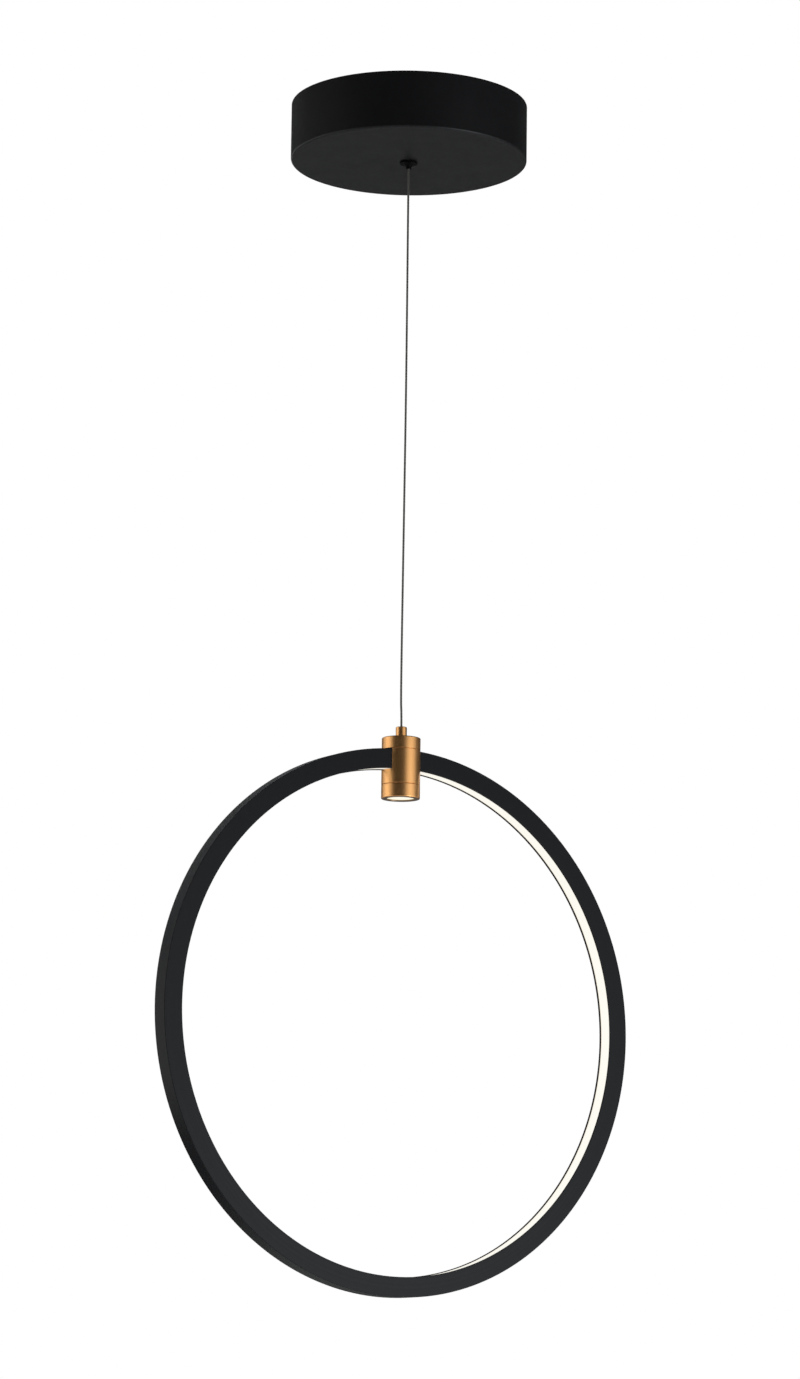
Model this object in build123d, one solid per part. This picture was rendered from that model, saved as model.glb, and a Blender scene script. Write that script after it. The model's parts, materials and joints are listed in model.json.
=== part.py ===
from build123d import *
import os
from math import asin, degrees, radians, sqrt, tan

# Ring pendant light: a round ceiling canopy, one thin cable that carries both the weight and the current,
# a turned head with a downlight, and a light ring that passes through the head.
# Millimetres, +Z up. The origin lies on the cable's axis in the plane of the ceiling.
# The ring stands in the XZ plane. What is inside the canopy lies along the bracket, turned about Z.

# Ceiling canopy
canopy_diameter = 155.8
canopy_height = 38.0
canopy_wall = 1.2
canopy_edge_radius = 1.5
canopy_inside_edge_radius = 0.5

# Mounting bracket across the canopy, with a turned-down ear at each end; plate and ears are two nodes
bracket_turn = -30.0
bracket_width = 22.0
bracket_thickness = 2.0
bracket_bend_radius = 1.5
bracket_ear_margin = 6.0
bracket_ear_corner = 4.0
bracket_wall_gap = 0.3
box_screw_circle = 88.9
box_screw_hole = 5.0
supply_hole = 10.5

# Screws through the canopy's wall into the ears, countersunk flush
canopy_screw_diameter = 4.0
canopy_screw_head = 6.4
canopy_screw_length = 8.0
canopy_screw_drop = 8.0
canopy_screw_socket = 1.3
canopy_screw_socket_depth = 0.8

# Earth screw under the bracket, its lug and its lead
earth_screw_offset = 24.0
earth_screw_diameter = 4.0
earth_screw_head = 7.6
earth_screw_head_height = 2.4
lug_diameter = 8.4
lug_thickness = 0.8
lug_barrel_length = 7.0
lug_barrel_wall = 0.5

# Driver that feeds both lights
driver_length = 76.0
driver_width = 32.0
driver_height = 22.0
driver_wall = 1.6
driver_gap = 3.0
driver_lid_lip = 1.2
driver_rail_height = 3.0
driver_rail_width = 2.5
board_thickness = 1.6
transformer_size = (18.0, 16.0, 11.0)
choke_size = (10.0, 10.0, 9.0)
capacitor_diameter = 8.0
capacitor_height = 12.0
tape_thickness = 1.0
tape_inset = 3.0

# Terminal block for the house wires
terminal_poles = 3
terminal_pitch = 10.0
terminal_width = 18.0
terminal_height = 14.0
terminal_pole_inset = 4.0
terminal_gap = 3.0
terminal_bore_height = 8.0
sleeve_diameter = 4.4
sleeve_bore = 2.8
sleeve_inset = 2.0
terminal_screw_diameter = 3.0
terminal_screw_spread = 6.0
terminal_screw_recess = 1.5
terminal_screw_slot = 0.6

# Insulated leads inside the canopy; the earth lead's way is given as along, across and share of its drop
lead_diameter = 2.0
lead_entry = 3.0
lead_rise = 4.0
supply_lead_bends = (-7.0, 5.0)
earth_lead_way = ((8.0, 0.0, 0.0), (-3.0, -0.5, 0.27), (-12.0, -2.0, 0.67))
earth_lead_turn = -9.0

# Cord grip in the middle of the canopy
grip_flange_diameter = 11.5
grip_flange_thickness = 1.3
grip_flare_diameter = 8.6
grip_flare_height = 1.7
grip_nose_diameter = 3.8
grip_reach = 4.6
grip_stem_diameter = 8.0
grip_stem_above_nut = 5.5
grip_washer_diameter = 15.0
grip_washer_thickness = 1.0
grip_nut_width = 12.0
grip_nut_thickness = 4.0
grip_screw_diameter = 3.0
grip_screw_height = 2.8
grip_screw_stand_out = 1.0
grip_screw_socket = 0.8
grip_screw_socket_depth = 1.2

# Suspension cable and the crimped stop on its lower end
cable_diameter = 1.4
cable_exposed_length = 373.9
tail_clearance_above_grip = 0.5
tail_bend_radius = 7.0
stop_wall = 1.0
stop_length = 5.0

# Collar on the head
collar_diameter = 7.2
collar_height = 7.3
collar_land = 2.0
collar_edge_radius = 0.5
collar_spigot_wall = 0.6

# Turned head: cap, slotted body and bezel
head_diameter = 25.0
head_cap_height = 8.0
head_cap_plate = 3.2
head_cap_hollow_diameter = 12.0
head_edge_radius = 0.6
head_seam_chamfer = 0.25
head_web = 3.8
head_lead_hole = 4.4
head_cavity_wall = 1.8
bezel_height = 9.0
bezel_lip_height = 0.8
bezel_lip_reach = 0.6
bezel_wall = 1.05
spigot_length = 4.0

# Small screws in the head and the ring joint
head_screw_diameter = 2.0
head_screw_head = 3.6
head_screw_head_height = 1.2
head_screw_grip = 5.0
head_screw_socket = 0.8
head_screw_socket_depth = 0.6
joint_screw_spread = 14.0
joint_screw_offset = 2.2
joint_screw_grip = 4.0

# Light ring
ring_diameter = 350.0
ring_depth = 12.8
ring_width = 12.4
ring_back_wall = 1.6
ring_side_wall = 1.3
ring_corner_radius = 0.5
ring_lip_chamfer = 0.25
ring_ledge_reach = 0.6
ring_ledge_height = 0.8
ring_joint_gap = 8.0
joiner_length = 20.0
joiner_end_gap = 0.5
diffuser_thickness = 1.6
diffuser_inset = 0.5
strip_width = 8.0
strip_thickness = 0.4
led_length = 3.5
led_width = 2.8
led_height = 0.7
led_pitch = 8.4
led_end_room = 4.0

# Downlight stack, from the lens up
lens_thickness = 2.0
reflector_height = 4.6
reflector_mouth_wall = 1.0
reflector_throat_diameter = 10.0
led_board_thickness = 1.5
emitter_diameter = 9.0
emitter_height = 0.8
retaining_ring_height = 1.0
retaining_ring_width = 2.0

# Thin leads inside the head
head_lead_diameter = 0.9
head_lead_spread = 1.8

# Clearances
fit_clearance = 0.05
slot_clearance = 0.1
hole_clearance = 0.3
swivel_clearance = 0.2
bend_gap = 0.05
solder_gap = 0.03
cut_margin = 1.0

# Share of the shorter run that an arc of a lead's route may take up at each end
arc_share = 0.45

# Radii and heights that follow from the sizes above
canopy_radius = canopy_diameter / 2
canopy_inner_radius = canopy_radius - canopy_wall
floor_top = canopy_wall - canopy_height
tape_top = floor_top + tape_thickness
cable_radius = cable_diameter / 2
lead_radius = lead_diameter / 2
ear_face = sqrt(canopy_inner_radius**2 - (bracket_width / 2) ** 2) - bracket_wall_gap
ear_height = canopy_screw_drop + bracket_ear_margin

grip_stem_radius = grip_stem_diameter / 2
nose_z = -canopy_height - grip_reach
washer_top = floor_top + grip_washer_thickness
nut_top = washer_top + grip_nut_thickness
stem_top = nut_top + grip_stem_above_nut
grip_screw_z = nut_top + grip_screw_height

driver_near = bracket_width / 2 + driver_gap
driver_middle = driver_near + driver_width / 2
driver_floor_top = tape_top + driver_wall
driver_case_top = tape_top + driver_height - driver_wall
board_bottom = driver_floor_top + driver_rail_height
board_top = board_bottom + board_thickness
tail_z = stem_top + tail_clearance_above_grip + tail_bend_radius

terminal_length = terminal_poles * terminal_pitch
terminal_offset = terminal_pole_inset - driver_length / 2 + (terminal_length - terminal_pitch) / 2
terminal_near = -bracket_width / 2 - terminal_gap
terminal_middle = terminal_near - terminal_width / 2
terminal_bore_z = tape_top + terminal_bore_height
terminal_top = tape_top + terminal_height
pole_places = [
    terminal_offset + (pole - (terminal_poles - 1) / 2) * terminal_pitch for pole in range(terminal_poles)
]
supply_poles = pole_places[:2]
earth_pole = pole_places[-1]
supply_hole_z = terminal_bore_z + lead_rise

swing_z = nose_z - cable_radius - bend_gap
cable_top = swing_z - cable_radius - bend_gap
collar_top = nose_z - cable_exposed_length
stop_top = collar_top - collar_land - bend_gap
stop_bottom = stop_top - stop_length
stop_radius = cable_radius + stop_wall
stop_socket_radius = stop_radius + swivel_clearance
collar_spigot_radius = stop_socket_radius + collar_spigot_wall

head_radius = head_diameter / 2
head_top = collar_top - collar_height
upper_seam = head_top - head_cap_height
ring_radius = ring_diameter / 2
ring_inner_radius = ring_radius - ring_depth
diffuser_inner_radius = ring_inner_radius + diffuser_inset
ring_z = upper_seam - ring_radius
ring_bore_width = ring_width - 2 * ring_side_wall
ring_axis = Axis((0, 0, ring_z), (0, 1, 0))
slot_half_width = ring_width / 2 + slot_clearance
arc_drop = ring_inner_radius - sqrt(ring_inner_radius**2 - head_radius**2)
slot_floor = upper_seam - ring_depth - arc_drop - slot_clearance
web_bottom = slot_floor - head_web
spigot_top = web_bottom - head_screw_head_height - hole_clearance
lower_seam = spigot_top - spigot_length
head_bottom = lower_seam - bezel_height
cheek_middle = (slot_half_width + head_radius) / 2
cavity_radius = head_radius - head_cavity_wall
spigot_radius = cavity_radius - fit_clearance
bezel_bore_radius = spigot_radius - bezel_wall
stack_radius = bezel_bore_radius - fit_clearance
lip_radius = bezel_bore_radius - bezel_lip_reach

lens_bottom = head_bottom + bezel_lip_height
lens_top = lens_bottom + lens_thickness
reflector_top = lens_top + reflector_height
led_board_top = reflector_top + led_board_thickness
sink_top = spigot_top - retaining_ring_height

strip_outer_radius = ring_radius - ring_back_wall
strip_inner_radius = strip_outer_radius - strip_thickness
strip_end = joiner_length / 2 + joiner_end_gap
joiner_top_radius = strip_outer_radius - fit_clearance
joiner_half_width = ring_bore_width / 2 - ring_ledge_reach - slot_clearance
groove_z = ring_z + sqrt(strip_outer_radius**2 - strip_end**2) - head_lead_diameter / 2 - slot_clearance

# The ring's outer face falls away from its top, so a screw that is countersunk there sits this much lower
joint_screw_reach = joint_screw_spread / 2 + head_screw_head / 2
joint_drop = Pos(0, 0, sqrt(ring_radius**2 - joint_screw_reach**2) - ring_radius)

# Turns what is inside the canopy to the bracket's direction
bracket_frame = Rot(0, 0, bracket_turn)
standing = (Align.CENTER, Align.CENTER, Align.MIN)


# Shapes that repeat


def rod(radius, bottom, top):
    """A solid cylinder on Z between two heights."""
    return Pos(0, 0, bottom) * Cylinder(radius, top - bottom, align=standing)


def tube(outer, inner, bottom, top):
    """A hollow cylinder on Z between two heights."""
    return rod(outer, bottom, top) - rod(inner, bottom, top)


def lathe(outline):
    """A turned piece from its outline of (radius, height) points."""
    return revolve(make_face(Polyline(*[(r, 0, z) for r, z in outline], close=True)), axis=Axis.Z)


def block(length, width, bottom, top):
    """A box centred on Z between two heights."""
    return Pos(0, 0, bottom) * Box(length, width, top - bottom, align=standing)


def prism(across_corners, sides, bottom, top):
    """A regular prism on Z between two heights."""
    return Pos(0, 0, bottom) * extrude(RegularPolygon(across_corners / 2, sides), amount=top - bottom)


def rim(shape, radius, height):
    """The circular edges of one radius at one height."""
    near = 0.01
    circles = shape.edges().filter_by(GeomType.CIRCLE)
    return [e for e in circles if abs(e.radius - radius) < near and abs(e.arc_center.Z - height) < near]


def group(shapes):
    """Several separate solids as one node."""
    return Compound([solid for shape in shapes for solid in shape.solids()])


def lead(points, diameter, name):
    """A round lead along straight runs joined by arcs as large as the runs allow."""
    runs = [Vector(*b) - Vector(*a) for a, b in zip(points, points[1:])]
    radii = []
    for before, after in zip(runs, runs[1:]):
        half_turn = radians(before.get_angle(after) / 2)
        radii.append(arc_share * min(before.length, after.length) / tan(half_turn))
    path = FilletPolyline(*points, radius=radii)
    section = Plane(origin=points[0], z_dir=runs[0]) * Circle(diameter / 2)
    tube_solid = sweep(section, path=path)
    expected = section.area * path.length
    print(name, "radii", [round(r, 1) for r in radii], "volume share", round(tube_solid.volume / expected, 4))
    return tube_solid


def hoop(outline, end_reach, end_radius):
    """A part of the ring from an outline of (y, radius) points, open by end_reach each side of the top."""
    face = make_face(Polyline(*[(0, y, ring_z + r) for y, r in outline], close=True))
    half_open = degrees(asin(end_reach / end_radius))
    return revolve(face.rotate(ring_axis, half_open), axis=ring_axis, revolution_arc=360 - 2 * half_open)


def small_screw(tip):
    """A head screw on Z, its head under the web and its tip above, with a hexagon socket."""
    head_end = web_bottom - head_screw_head_height
    screw = rod(head_screw_diameter / 2, web_bottom, tip) + rod(head_screw_head / 2, head_end, web_bottom)
    return screw - prism(2 * head_screw_socket, 6, head_end, head_end + head_screw_socket_depth)


# Canopy and what holds it to the ceiling


def canopy_screw_axis(shape):
    """The two places of a canopy screw, for a shape made on Z."""
    return [Rot(0, 0, bracket_turn + side) * Pos(0, 0, -canopy_screw_drop) * Rot(0, 90, 0) * shape
            for side in (0, 180)]


def make_canopy_screws():
    head_radius_ = canopy_screw_head / 2
    shank_radius = canopy_screw_diameter / 2
    face = sqrt(canopy_radius**2 - head_radius_**2) - fit_clearance
    neck = face - (head_radius_ - shank_radius)
    tip = face - canopy_screw_length
    screw = lathe([(0, tip), (shank_radius, tip), (shank_radius, neck), (head_radius_, face), (0, face)])
    screw -= prism(2 * canopy_screw_socket, 6, face - canopy_screw_socket_depth, face)
    return group(canopy_screw_axis(screw))


def make_canopy_cover():
    cup = rod(canopy_radius, -canopy_height, 0)
    cup = fillet(rim(cup, canopy_radius, -canopy_height), canopy_edge_radius)
    hollow = rod(canopy_inner_radius, floor_top, 0)
    hollow = fillet(rim(hollow, canopy_inner_radius, floor_top), canopy_inside_edge_radius)
    cup -= hollow
    cup -= rod(grip_stem_radius + slot_clearance, -canopy_height, floor_top)
    head_radius_ = canopy_screw_head / 2 + fit_clearance
    shank_radius = canopy_screw_diameter / 2 + fit_clearance
    mouth = canopy_radius + cut_margin
    face = sqrt(canopy_radius**2 - head_radius_**2) - fit_clearance
    neck = face - (head_radius_ - shank_radius)
    inside = ear_face - bracket_thickness
    hole = lathe([(0, inside), (shank_radius, inside), (shank_radius, neck), (head_radius_, face),
                  (head_radius_, mouth), (0, mouth)])
    for cut in canopy_screw_axis(hole):
        cup -= cut
    return cup


def bracket_strip():
    """The bracket as it is pressed from one strip."""
    bracket = block(2 * ear_face, bracket_width, -bracket_thickness, 0)
    for side in (-1, 1):
        ear = block(bracket_thickness, bracket_width, -ear_height, 0)
        bracket += Pos(side * (ear_face - bracket_thickness / 2), 0, 0) * ear
    ends = bracket.edges().filter_by(Axis.Y).group_by(Axis.Z)[-1]
    bracket = fillet(ends, bracket_bend_radius)
    corners = bracket.edges().filter_by(Axis.X).group_by(Axis.Z)[0]
    bracket = fillet(corners, bracket_ear_corner)
    for side in (-1, 1):
        bracket -= Pos(side * box_screw_circle / 2, 0, 0) * rod(box_screw_hole / 2, -bracket_thickness, 0)
    bracket -= rod(supply_hole / 2, -bracket_thickness, 0)
    earth_hole = rod(earth_screw_diameter / 2 + fit_clearance, -bracket_thickness, 0)
    bracket -= Pos(earth_screw_offset, 0, 0) * earth_hole
    bracket = bracket_frame * bracket
    for cut in canopy_screw_axis(rod(canopy_screw_diameter / 2 + fit_clearance, 0, canopy_radius)):
        bracket -= cut
    return bracket


def make_mounting_bracket():
    return split(bracket_strip(), bisect_by=Plane.XY.offset(-bracket_thickness), keep=Keep.TOP)


def make_bracket_ears():
    return group([split(bracket_strip(), bisect_by=Plane.XY.offset(-bracket_thickness), keep=Keep.BOTTOM)])


def make_earth_screw():
    seat = -bracket_thickness - lug_thickness
    head_bottom_ = seat - earth_screw_head_height
    screw = rod(earth_screw_diameter / 2, seat, 0) + rod(earth_screw_head / 2, head_bottom_, seat)
    slot_top = head_bottom_ + earth_screw_head_height / 2
    slot = block(earth_screw_head, terminal_screw_slot, head_bottom_, slot_top)
    return bracket_frame * Pos(earth_screw_offset, 0, 0) * (screw - slot)


def make_earth_lug():
    top = -bracket_thickness
    ring = rod(lug_diameter / 2, top - lug_thickness, top)
    barrel_radius = lead_radius + fit_clearance + lug_barrel_wall
    barrel_axis = Pos(-lug_diameter / 2, 0, top - barrel_radius) * Rot(0, -90, 0)
    barrel = barrel_axis * rod(barrel_radius, 0, lug_barrel_length)
    neck = Pos(-lug_diameter / 2, 0, 0) * block(lug_thickness, lug_diameter / 2, top - lug_thickness, top)
    lug = ring + neck + barrel
    lug -= rod(earth_screw_diameter / 2 + fit_clearance, top - lug_thickness, top)
    bore = rod(lead_radius + fit_clearance, lug_thickness, lug_barrel_length)
    lug -= barrel_axis * bore
    return bracket_frame * Pos(earth_screw_offset, 0, 0) * lug


def make_earth_lead():
    barrel_z = -bracket_thickness - lead_radius - fit_clearance - lug_barrel_wall
    barrel_start = earth_screw_offset - lug_diameter / 2 - lug_thickness
    drop = terminal_bore_z - barrel_z
    route = [
        (barrel_start, 0, barrel_z),
        *[(x, y, barrel_z + share * drop) for x, y, share in earth_lead_way],
        (earth_pole, earth_lead_turn, terminal_bore_z),
        (earth_pole, terminal_near - sleeve_inset - lead_entry, terminal_bore_z),
    ]
    return bracket_frame * lead(route, lead_diameter, "earth_lead")


# Driver


def make_driver_tape():
    tape = block(driver_length - 2 * tape_inset, driver_width - 2 * tape_inset, floor_top, tape_top)
    return bracket_frame * Pos(0, driver_middle, 0) * tape


def make_driver_case():
    case = block(driver_length, driver_width, tape_top, driver_case_top)
    inner_length = driver_length - 2 * driver_wall
    inner_width = driver_width - 2 * driver_wall
    case -= block(inner_length, inner_width, driver_floor_top, driver_case_top)
    for side in (-1, 1):
        rail = block(inner_length, driver_rail_width, driver_floor_top, board_bottom)
        case += Pos(0, side * (inner_width - driver_rail_width) / 2, 0) * rail
    case = Pos(0, driver_middle, 0) * case
    through = Rot(-90, 0, 0) * rod(cable_radius + hole_clearance, 0, driver_near + driver_wall)
    case -= Pos(0, 0, tail_z) * through
    for place in supply_poles:
        through = Rot(-90, 0, 0) * rod(lead_radius + hole_clearance, 0, driver_near + driver_wall)
        case -= Pos(place, 0, supply_hole_z) * through
    return bracket_frame * case


def make_driver_lid():
    plate = block(driver_length, driver_width, driver_case_top, driver_case_top + driver_wall)
    lip_length = driver_length - 2 * driver_wall - 2 * slot_clearance
    lip_width = driver_width - 2 * driver_wall - 2 * slot_clearance
    lip = block(lip_length, lip_width, driver_case_top - driver_lid_lip, driver_case_top)
    lip -= block(lip_length - 2 * driver_wall, lip_width - 2 * driver_wall,
                 driver_case_top - driver_lid_lip, driver_case_top)
    lid = Pos(0, driver_middle, 0) * (plate + lip)
    notch_end = driver_near + 2 * driver_wall + hole_clearance
    notch = Pos(0, 0, tail_z) * Rot(-90, 0, 0) * rod(cable_radius + hole_clearance, 0, notch_end)
    return bracket_frame * (lid - notch)


def make_driver_board():
    length = driver_length - 2 * driver_wall - 2 * hole_clearance
    width = driver_width - 2 * driver_wall - 2 * hole_clearance
    return bracket_frame * Pos(0, driver_middle, 0) * block(length, width, board_bottom, board_top)


def make_driver_components():
    transformer = block(transformer_size[0], transformer_size[1], board_top, board_top + transformer_size[2])
    choke = block(choke_size[0], choke_size[1], board_top, board_top + choke_size[2])
    capacitor = rod(capacitor_diameter / 2, board_top, board_top + capacitor_height)
    room = driver_length / 2 - driver_wall
    places = [
        (room / 3, transformer),
        (room * 3 / 4, choke),
        (-room / 3, capacitor),
        (-room * 2 / 3, capacitor),
    ]
    return bracket_frame * group([Pos(x, driver_middle, 0) * shape for x, shape in places])


# Terminal block and the supply leads


def sleeve_bore_axis(shape, place):
    """A shape made on Z, laid along a pole of the terminal block from its near face."""
    return Pos(place, terminal_near, terminal_bore_z) * Rot(90, 0, 0) * shape


def terminal_screw_places():
    offsets = (-terminal_screw_spread / 2, terminal_screw_spread / 2)
    return [(place, terminal_middle + offset) for place in pole_places for offset in offsets]


def make_terminal_tape():
    tape = block(terminal_length - tape_inset, terminal_width - tape_inset, floor_top, tape_top)
    return bracket_frame * Pos(terminal_offset, terminal_middle, 0) * tape


def make_terminal_block():
    body = block(terminal_length, terminal_width, tape_top, terminal_top)
    body = Pos(terminal_offset, terminal_middle, 0) * body
    for place in pole_places:
        body -= sleeve_bore_axis(rod(sleeve_diameter / 2 + fit_clearance, 0, terminal_width), place)
    well = rod(terminal_screw_diameter / 2 + slot_clearance, terminal_bore_z, terminal_top)
    for x, y in terminal_screw_places():
        body -= Pos(x, y, 0) * well
    return bracket_frame * body


def make_terminal_sleeves():
    sleeves = []
    for place in pole_places:
        sleeve = tube(sleeve_diameter / 2, sleeve_bore / 2, sleeve_inset, terminal_width - sleeve_inset)
        sleeves.append(sleeve_bore_axis(sleeve, place))
    cut = rod(terminal_screw_diameter / 2 + fit_clearance, terminal_bore_z, terminal_top)
    for x, y in terminal_screw_places():
        sleeves = [sleeve - Pos(x, y, 0) * cut for sleeve in sleeves]
    return bracket_frame * group(sleeves)


def make_terminal_screws():
    top = terminal_top - terminal_screw_recess
    tip = terminal_bore_z + lead_radius + hole_clearance
    screw = rod(terminal_screw_diameter / 2, tip, top)
    screw -= block(terminal_screw_diameter, terminal_screw_slot, top - 2 * terminal_screw_slot, top)
    return bracket_frame * group([Pos(x, y, 0) * screw for x, y in terminal_screw_places()])


def make_supply_leads():
    leads = []
    first_bend, second_bend = supply_lead_bends
    for place in supply_poles:
        route = [
            (place, terminal_near - sleeve_inset - lead_entry, terminal_bore_z),
            (place, first_bend, terminal_bore_z),
            (place, second_bend, supply_hole_z),
            (place, driver_near + driver_wall + lead_entry, supply_hole_z),
        ]
        leads.append(lead(route, lead_diameter, "supply_lead"))
    return bracket_frame * group(leads)


# Cord grip and the cable


def make_cord_grip():
    flange_radius = grip_flange_diameter / 2
    flange_bottom = -canopy_height - grip_flange_thickness
    flare_bottom = flange_bottom - grip_flare_height
    nose_radius = grip_nose_diameter / 2
    bore = cable_radius + fit_clearance
    outline = Polyline(
        (nose_radius, 0, flare_bottom),
        (nose_radius, 0, nose_z),
        (bore, 0, nose_z),
        (bore, 0, stem_top),
        (grip_stem_radius, 0, stem_top),
        (grip_stem_radius, 0, -canopy_height),
        (flange_radius, 0, -canopy_height),
        (flange_radius, 0, flange_bottom),
        (grip_flare_diameter / 2, 0, flange_bottom),
    )
    flare_start = (grip_flare_diameter / 2, 0, flange_bottom)
    flare_end = (nose_radius, 0, flare_bottom)
    flare_middle = (nose_radius + (grip_flare_diameter / 2 - nose_radius) / 3, 0,
                    flange_bottom - grip_flare_height / 3)
    grip = revolve(make_face(outline + ThreePointArc(flare_start, flare_middle, flare_end)), axis=Axis.Z)
    screw_hole = rod(grip_screw_diameter / 2 + fit_clearance, 0, grip_stem_radius + cut_margin)
    return grip - bracket_frame * Pos(0, 0, grip_screw_z) * Rot(90, 0, 0) * screw_hole


def make_grip_screw():
    tail = grip_stem_radius + grip_screw_stand_out
    screw = rod(grip_screw_diameter / 2, cable_radius + fit_clearance, tail)
    screw -= prism(2 * grip_screw_socket, 6, tail - grip_screw_socket_depth, tail)
    return bracket_frame * Pos(0, 0, grip_screw_z) * Rot(90, 0, 0) * screw


def make_grip_washer():
    return tube(grip_washer_diameter / 2, grip_stem_radius + slot_clearance, floor_top, washer_top)


def make_grip_nut():
    across_corners = 2 * grip_nut_width / sqrt(3)
    nut = prism(across_corners, 6, washer_top, nut_top)
    return bracket_frame * (nut - rod(grip_stem_radius + fit_clearance, washer_top, nut_top))


def make_cable_tail():
    corner = (0, 0, tail_z)
    end = (0, driver_near + driver_wall + lead_entry, tail_z)
    path = FilletPolyline((0, 0, nose_z), corner, end, radius=tail_bend_radius)
    section = Plane(origin=(0, 0, nose_z), z_dir=(0, 0, 1)) * Circle(cable_radius)
    print("cable_tail radius", tail_bend_radius, "length", round(path.length, 1))
    return bracket_frame * sweep(section, path=path)


def make_cable_bend():
    return Pos(0, 0, swing_z) * Sphere(cable_radius)


def make_suspension_cable():
    return rod(cable_radius, stop_top, cable_top)


def make_cable_stop():
    return rod(stop_radius, stop_bottom, stop_top)


# Head


def make_cable_collar():
    bore = cable_radius + hole_clearance
    land_bottom = collar_top - collar_land
    spigot_bottom = head_top - head_cap_plate
    collar = lathe([
        (bore, collar_top),
        (collar_diameter / 2, collar_top),
        (collar_diameter / 2, head_top),
        (collar_spigot_radius, head_top),
        (collar_spigot_radius, spigot_bottom),
        (stop_socket_radius, spigot_bottom),
        (stop_socket_radius, land_bottom),
        (bore, land_bottom),
    ])
    return fillet(rim(collar, collar_diameter / 2, collar_top), collar_edge_radius)


def head_screw_axis(shape):
    """The two places of a screw through the head's cheeks, for a shape made on Z."""
    return [Pos(0, side * cheek_middle, 0) * shape for side in (-1, 1)]


def make_head_cap():
    cap = lathe([
        (0, head_top),
        (head_radius, head_top),
        (head_radius, upper_seam + head_seam_chamfer),
        (head_radius - head_seam_chamfer, upper_seam),
        (0, upper_seam),
    ])
    cap = fillet(rim(cap, head_radius, head_top), head_edge_radius)
    cap -= rod(head_cap_hollow_diameter / 2, upper_seam, head_top - head_cap_plate)
    cap -= rod(collar_spigot_radius + fit_clearance, upper_seam, head_top)
    tapped = rod(head_screw_diameter / 2 + fit_clearance, upper_seam, upper_seam + head_screw_grip)
    for hole in head_screw_axis(tapped):
        cap -= hole
    return cap


def joint_screw_axis(shape):
    """The two places of a screw through the ring joint, each beside the leads, for a shape made on Z."""
    return [Pos(side * joint_screw_spread / 2, side * joint_screw_offset, 0) * shape for side in (-1, 1)]


def make_head_body():
    inner = head_radius - head_seam_chamfer
    body = lathe([
        (0, upper_seam),
        (inner, upper_seam),
        (head_radius, upper_seam - head_seam_chamfer),
        (head_radius, lower_seam + head_seam_chamfer),
        (inner, lower_seam),
        (0, lower_seam),
    ])
    body -= block(head_diameter + 2 * cut_margin, 2 * slot_half_width, slot_floor, upper_seam)
    body -= rod(cavity_radius, lower_seam, web_bottom)
    body -= rod(head_lead_hole / 2, web_bottom, slot_floor)
    shank = rod(head_screw_diameter / 2 + slot_clearance, web_bottom, upper_seam)
    pocket = rod(head_screw_head / 2 + slot_clearance, spigot_top, web_bottom)
    for hole in head_screw_axis(shank) + head_screw_axis(pocket) + joint_screw_axis(shank):
        body -= hole
    return body


def make_head_screws():
    return group(head_screw_axis(small_screw(upper_seam + head_screw_grip - slot_clearance)))


def make_web_screws():
    return group(joint_screw_axis(small_screw(slot_floor + joint_screw_grip)))


# Ring


def make_ring_channel():
    half = ring_width / 2
    bore = ring_bore_width / 2
    mouth = ring_inner_radius
    ledge_low = diffuser_inner_radius + diffuser_thickness + fit_clearance
    ledge_high = ledge_low + ring_ledge_height
    side = [
        (half, ring_radius - ring_corner_radius),
        (half, mouth + ring_lip_chamfer),
        (half - ring_lip_chamfer, mouth),
        (bore, mouth),
        (bore, ledge_low),
        (bore - ring_ledge_reach, ledge_low),
        (bore - ring_ledge_reach, ledge_high),
        (bore, ledge_high),
        (bore, strip_outer_radius),
    ]
    mirrored = [(-y, r) for y, r in reversed(side)]
    flat = half - ring_corner_radius
    outer = [(-flat, ring_radius), (flat, ring_radius)]
    channel = hoop(side + mirrored + outer, ring_joint_gap / 2, ring_radius)
    seat = ring_z + ring_radius
    head_radius_ = head_screw_head / 2
    countersink = lathe([
        (0, seat - head_screw_head_height),
        (head_screw_diameter / 2 + fit_clearance, seat - head_screw_head_height),
        (head_radius_ + fit_clearance, seat),
        (head_radius_ + fit_clearance, seat + cut_margin),
        (0, seat + cut_margin),
    ])
    shank = rod(head_screw_diameter / 2 + fit_clearance, seat - 2 * ring_back_wall, seat)
    for hole in joint_screw_axis(countersink) + joint_screw_axis(shank):
        channel -= joint_drop * hole
    return channel


def make_ring_joiner():
    top = ring_z + joiner_top_radius
    joiner = block(joiner_length, 2 * joiner_half_width, slot_floor, top)
    disc = Pos(0, 0, ring_z) * Rot(90, 0, 0) * Cylinder(joiner_top_radius, ring_width)
    joiner = joiner & disc
    joiner -= rod(head_lead_hole / 2, slot_floor, top)
    groove_width = head_lead_diameter + 2 * hole_clearance
    joiner -= block(joiner_length, groove_width, groove_z - head_lead_diameter / 2 - slot_clearance, top)
    tapped = rod(head_screw_diameter / 2 + fit_clearance, slot_floor, top)
    for hole in joint_screw_axis(tapped):
        joiner -= hole
    return joiner


def make_joiner_screws():
    seat = ring_z + ring_radius - fit_clearance
    shank_radius = head_screw_diameter / 2
    head_radius_ = head_screw_head / 2 - fit_clearance
    neck = seat - head_screw_head_height
    tip = ring_z + joiner_top_radius - joint_screw_grip
    screw = lathe([(0, tip), (shank_radius, tip), (shank_radius, neck), (head_radius_, seat), (0, seat)])
    screw -= prism(2 * head_screw_socket, 6, seat - head_screw_socket_depth, seat)
    return group([joint_drop * place for place in joint_screw_axis(screw)])


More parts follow.
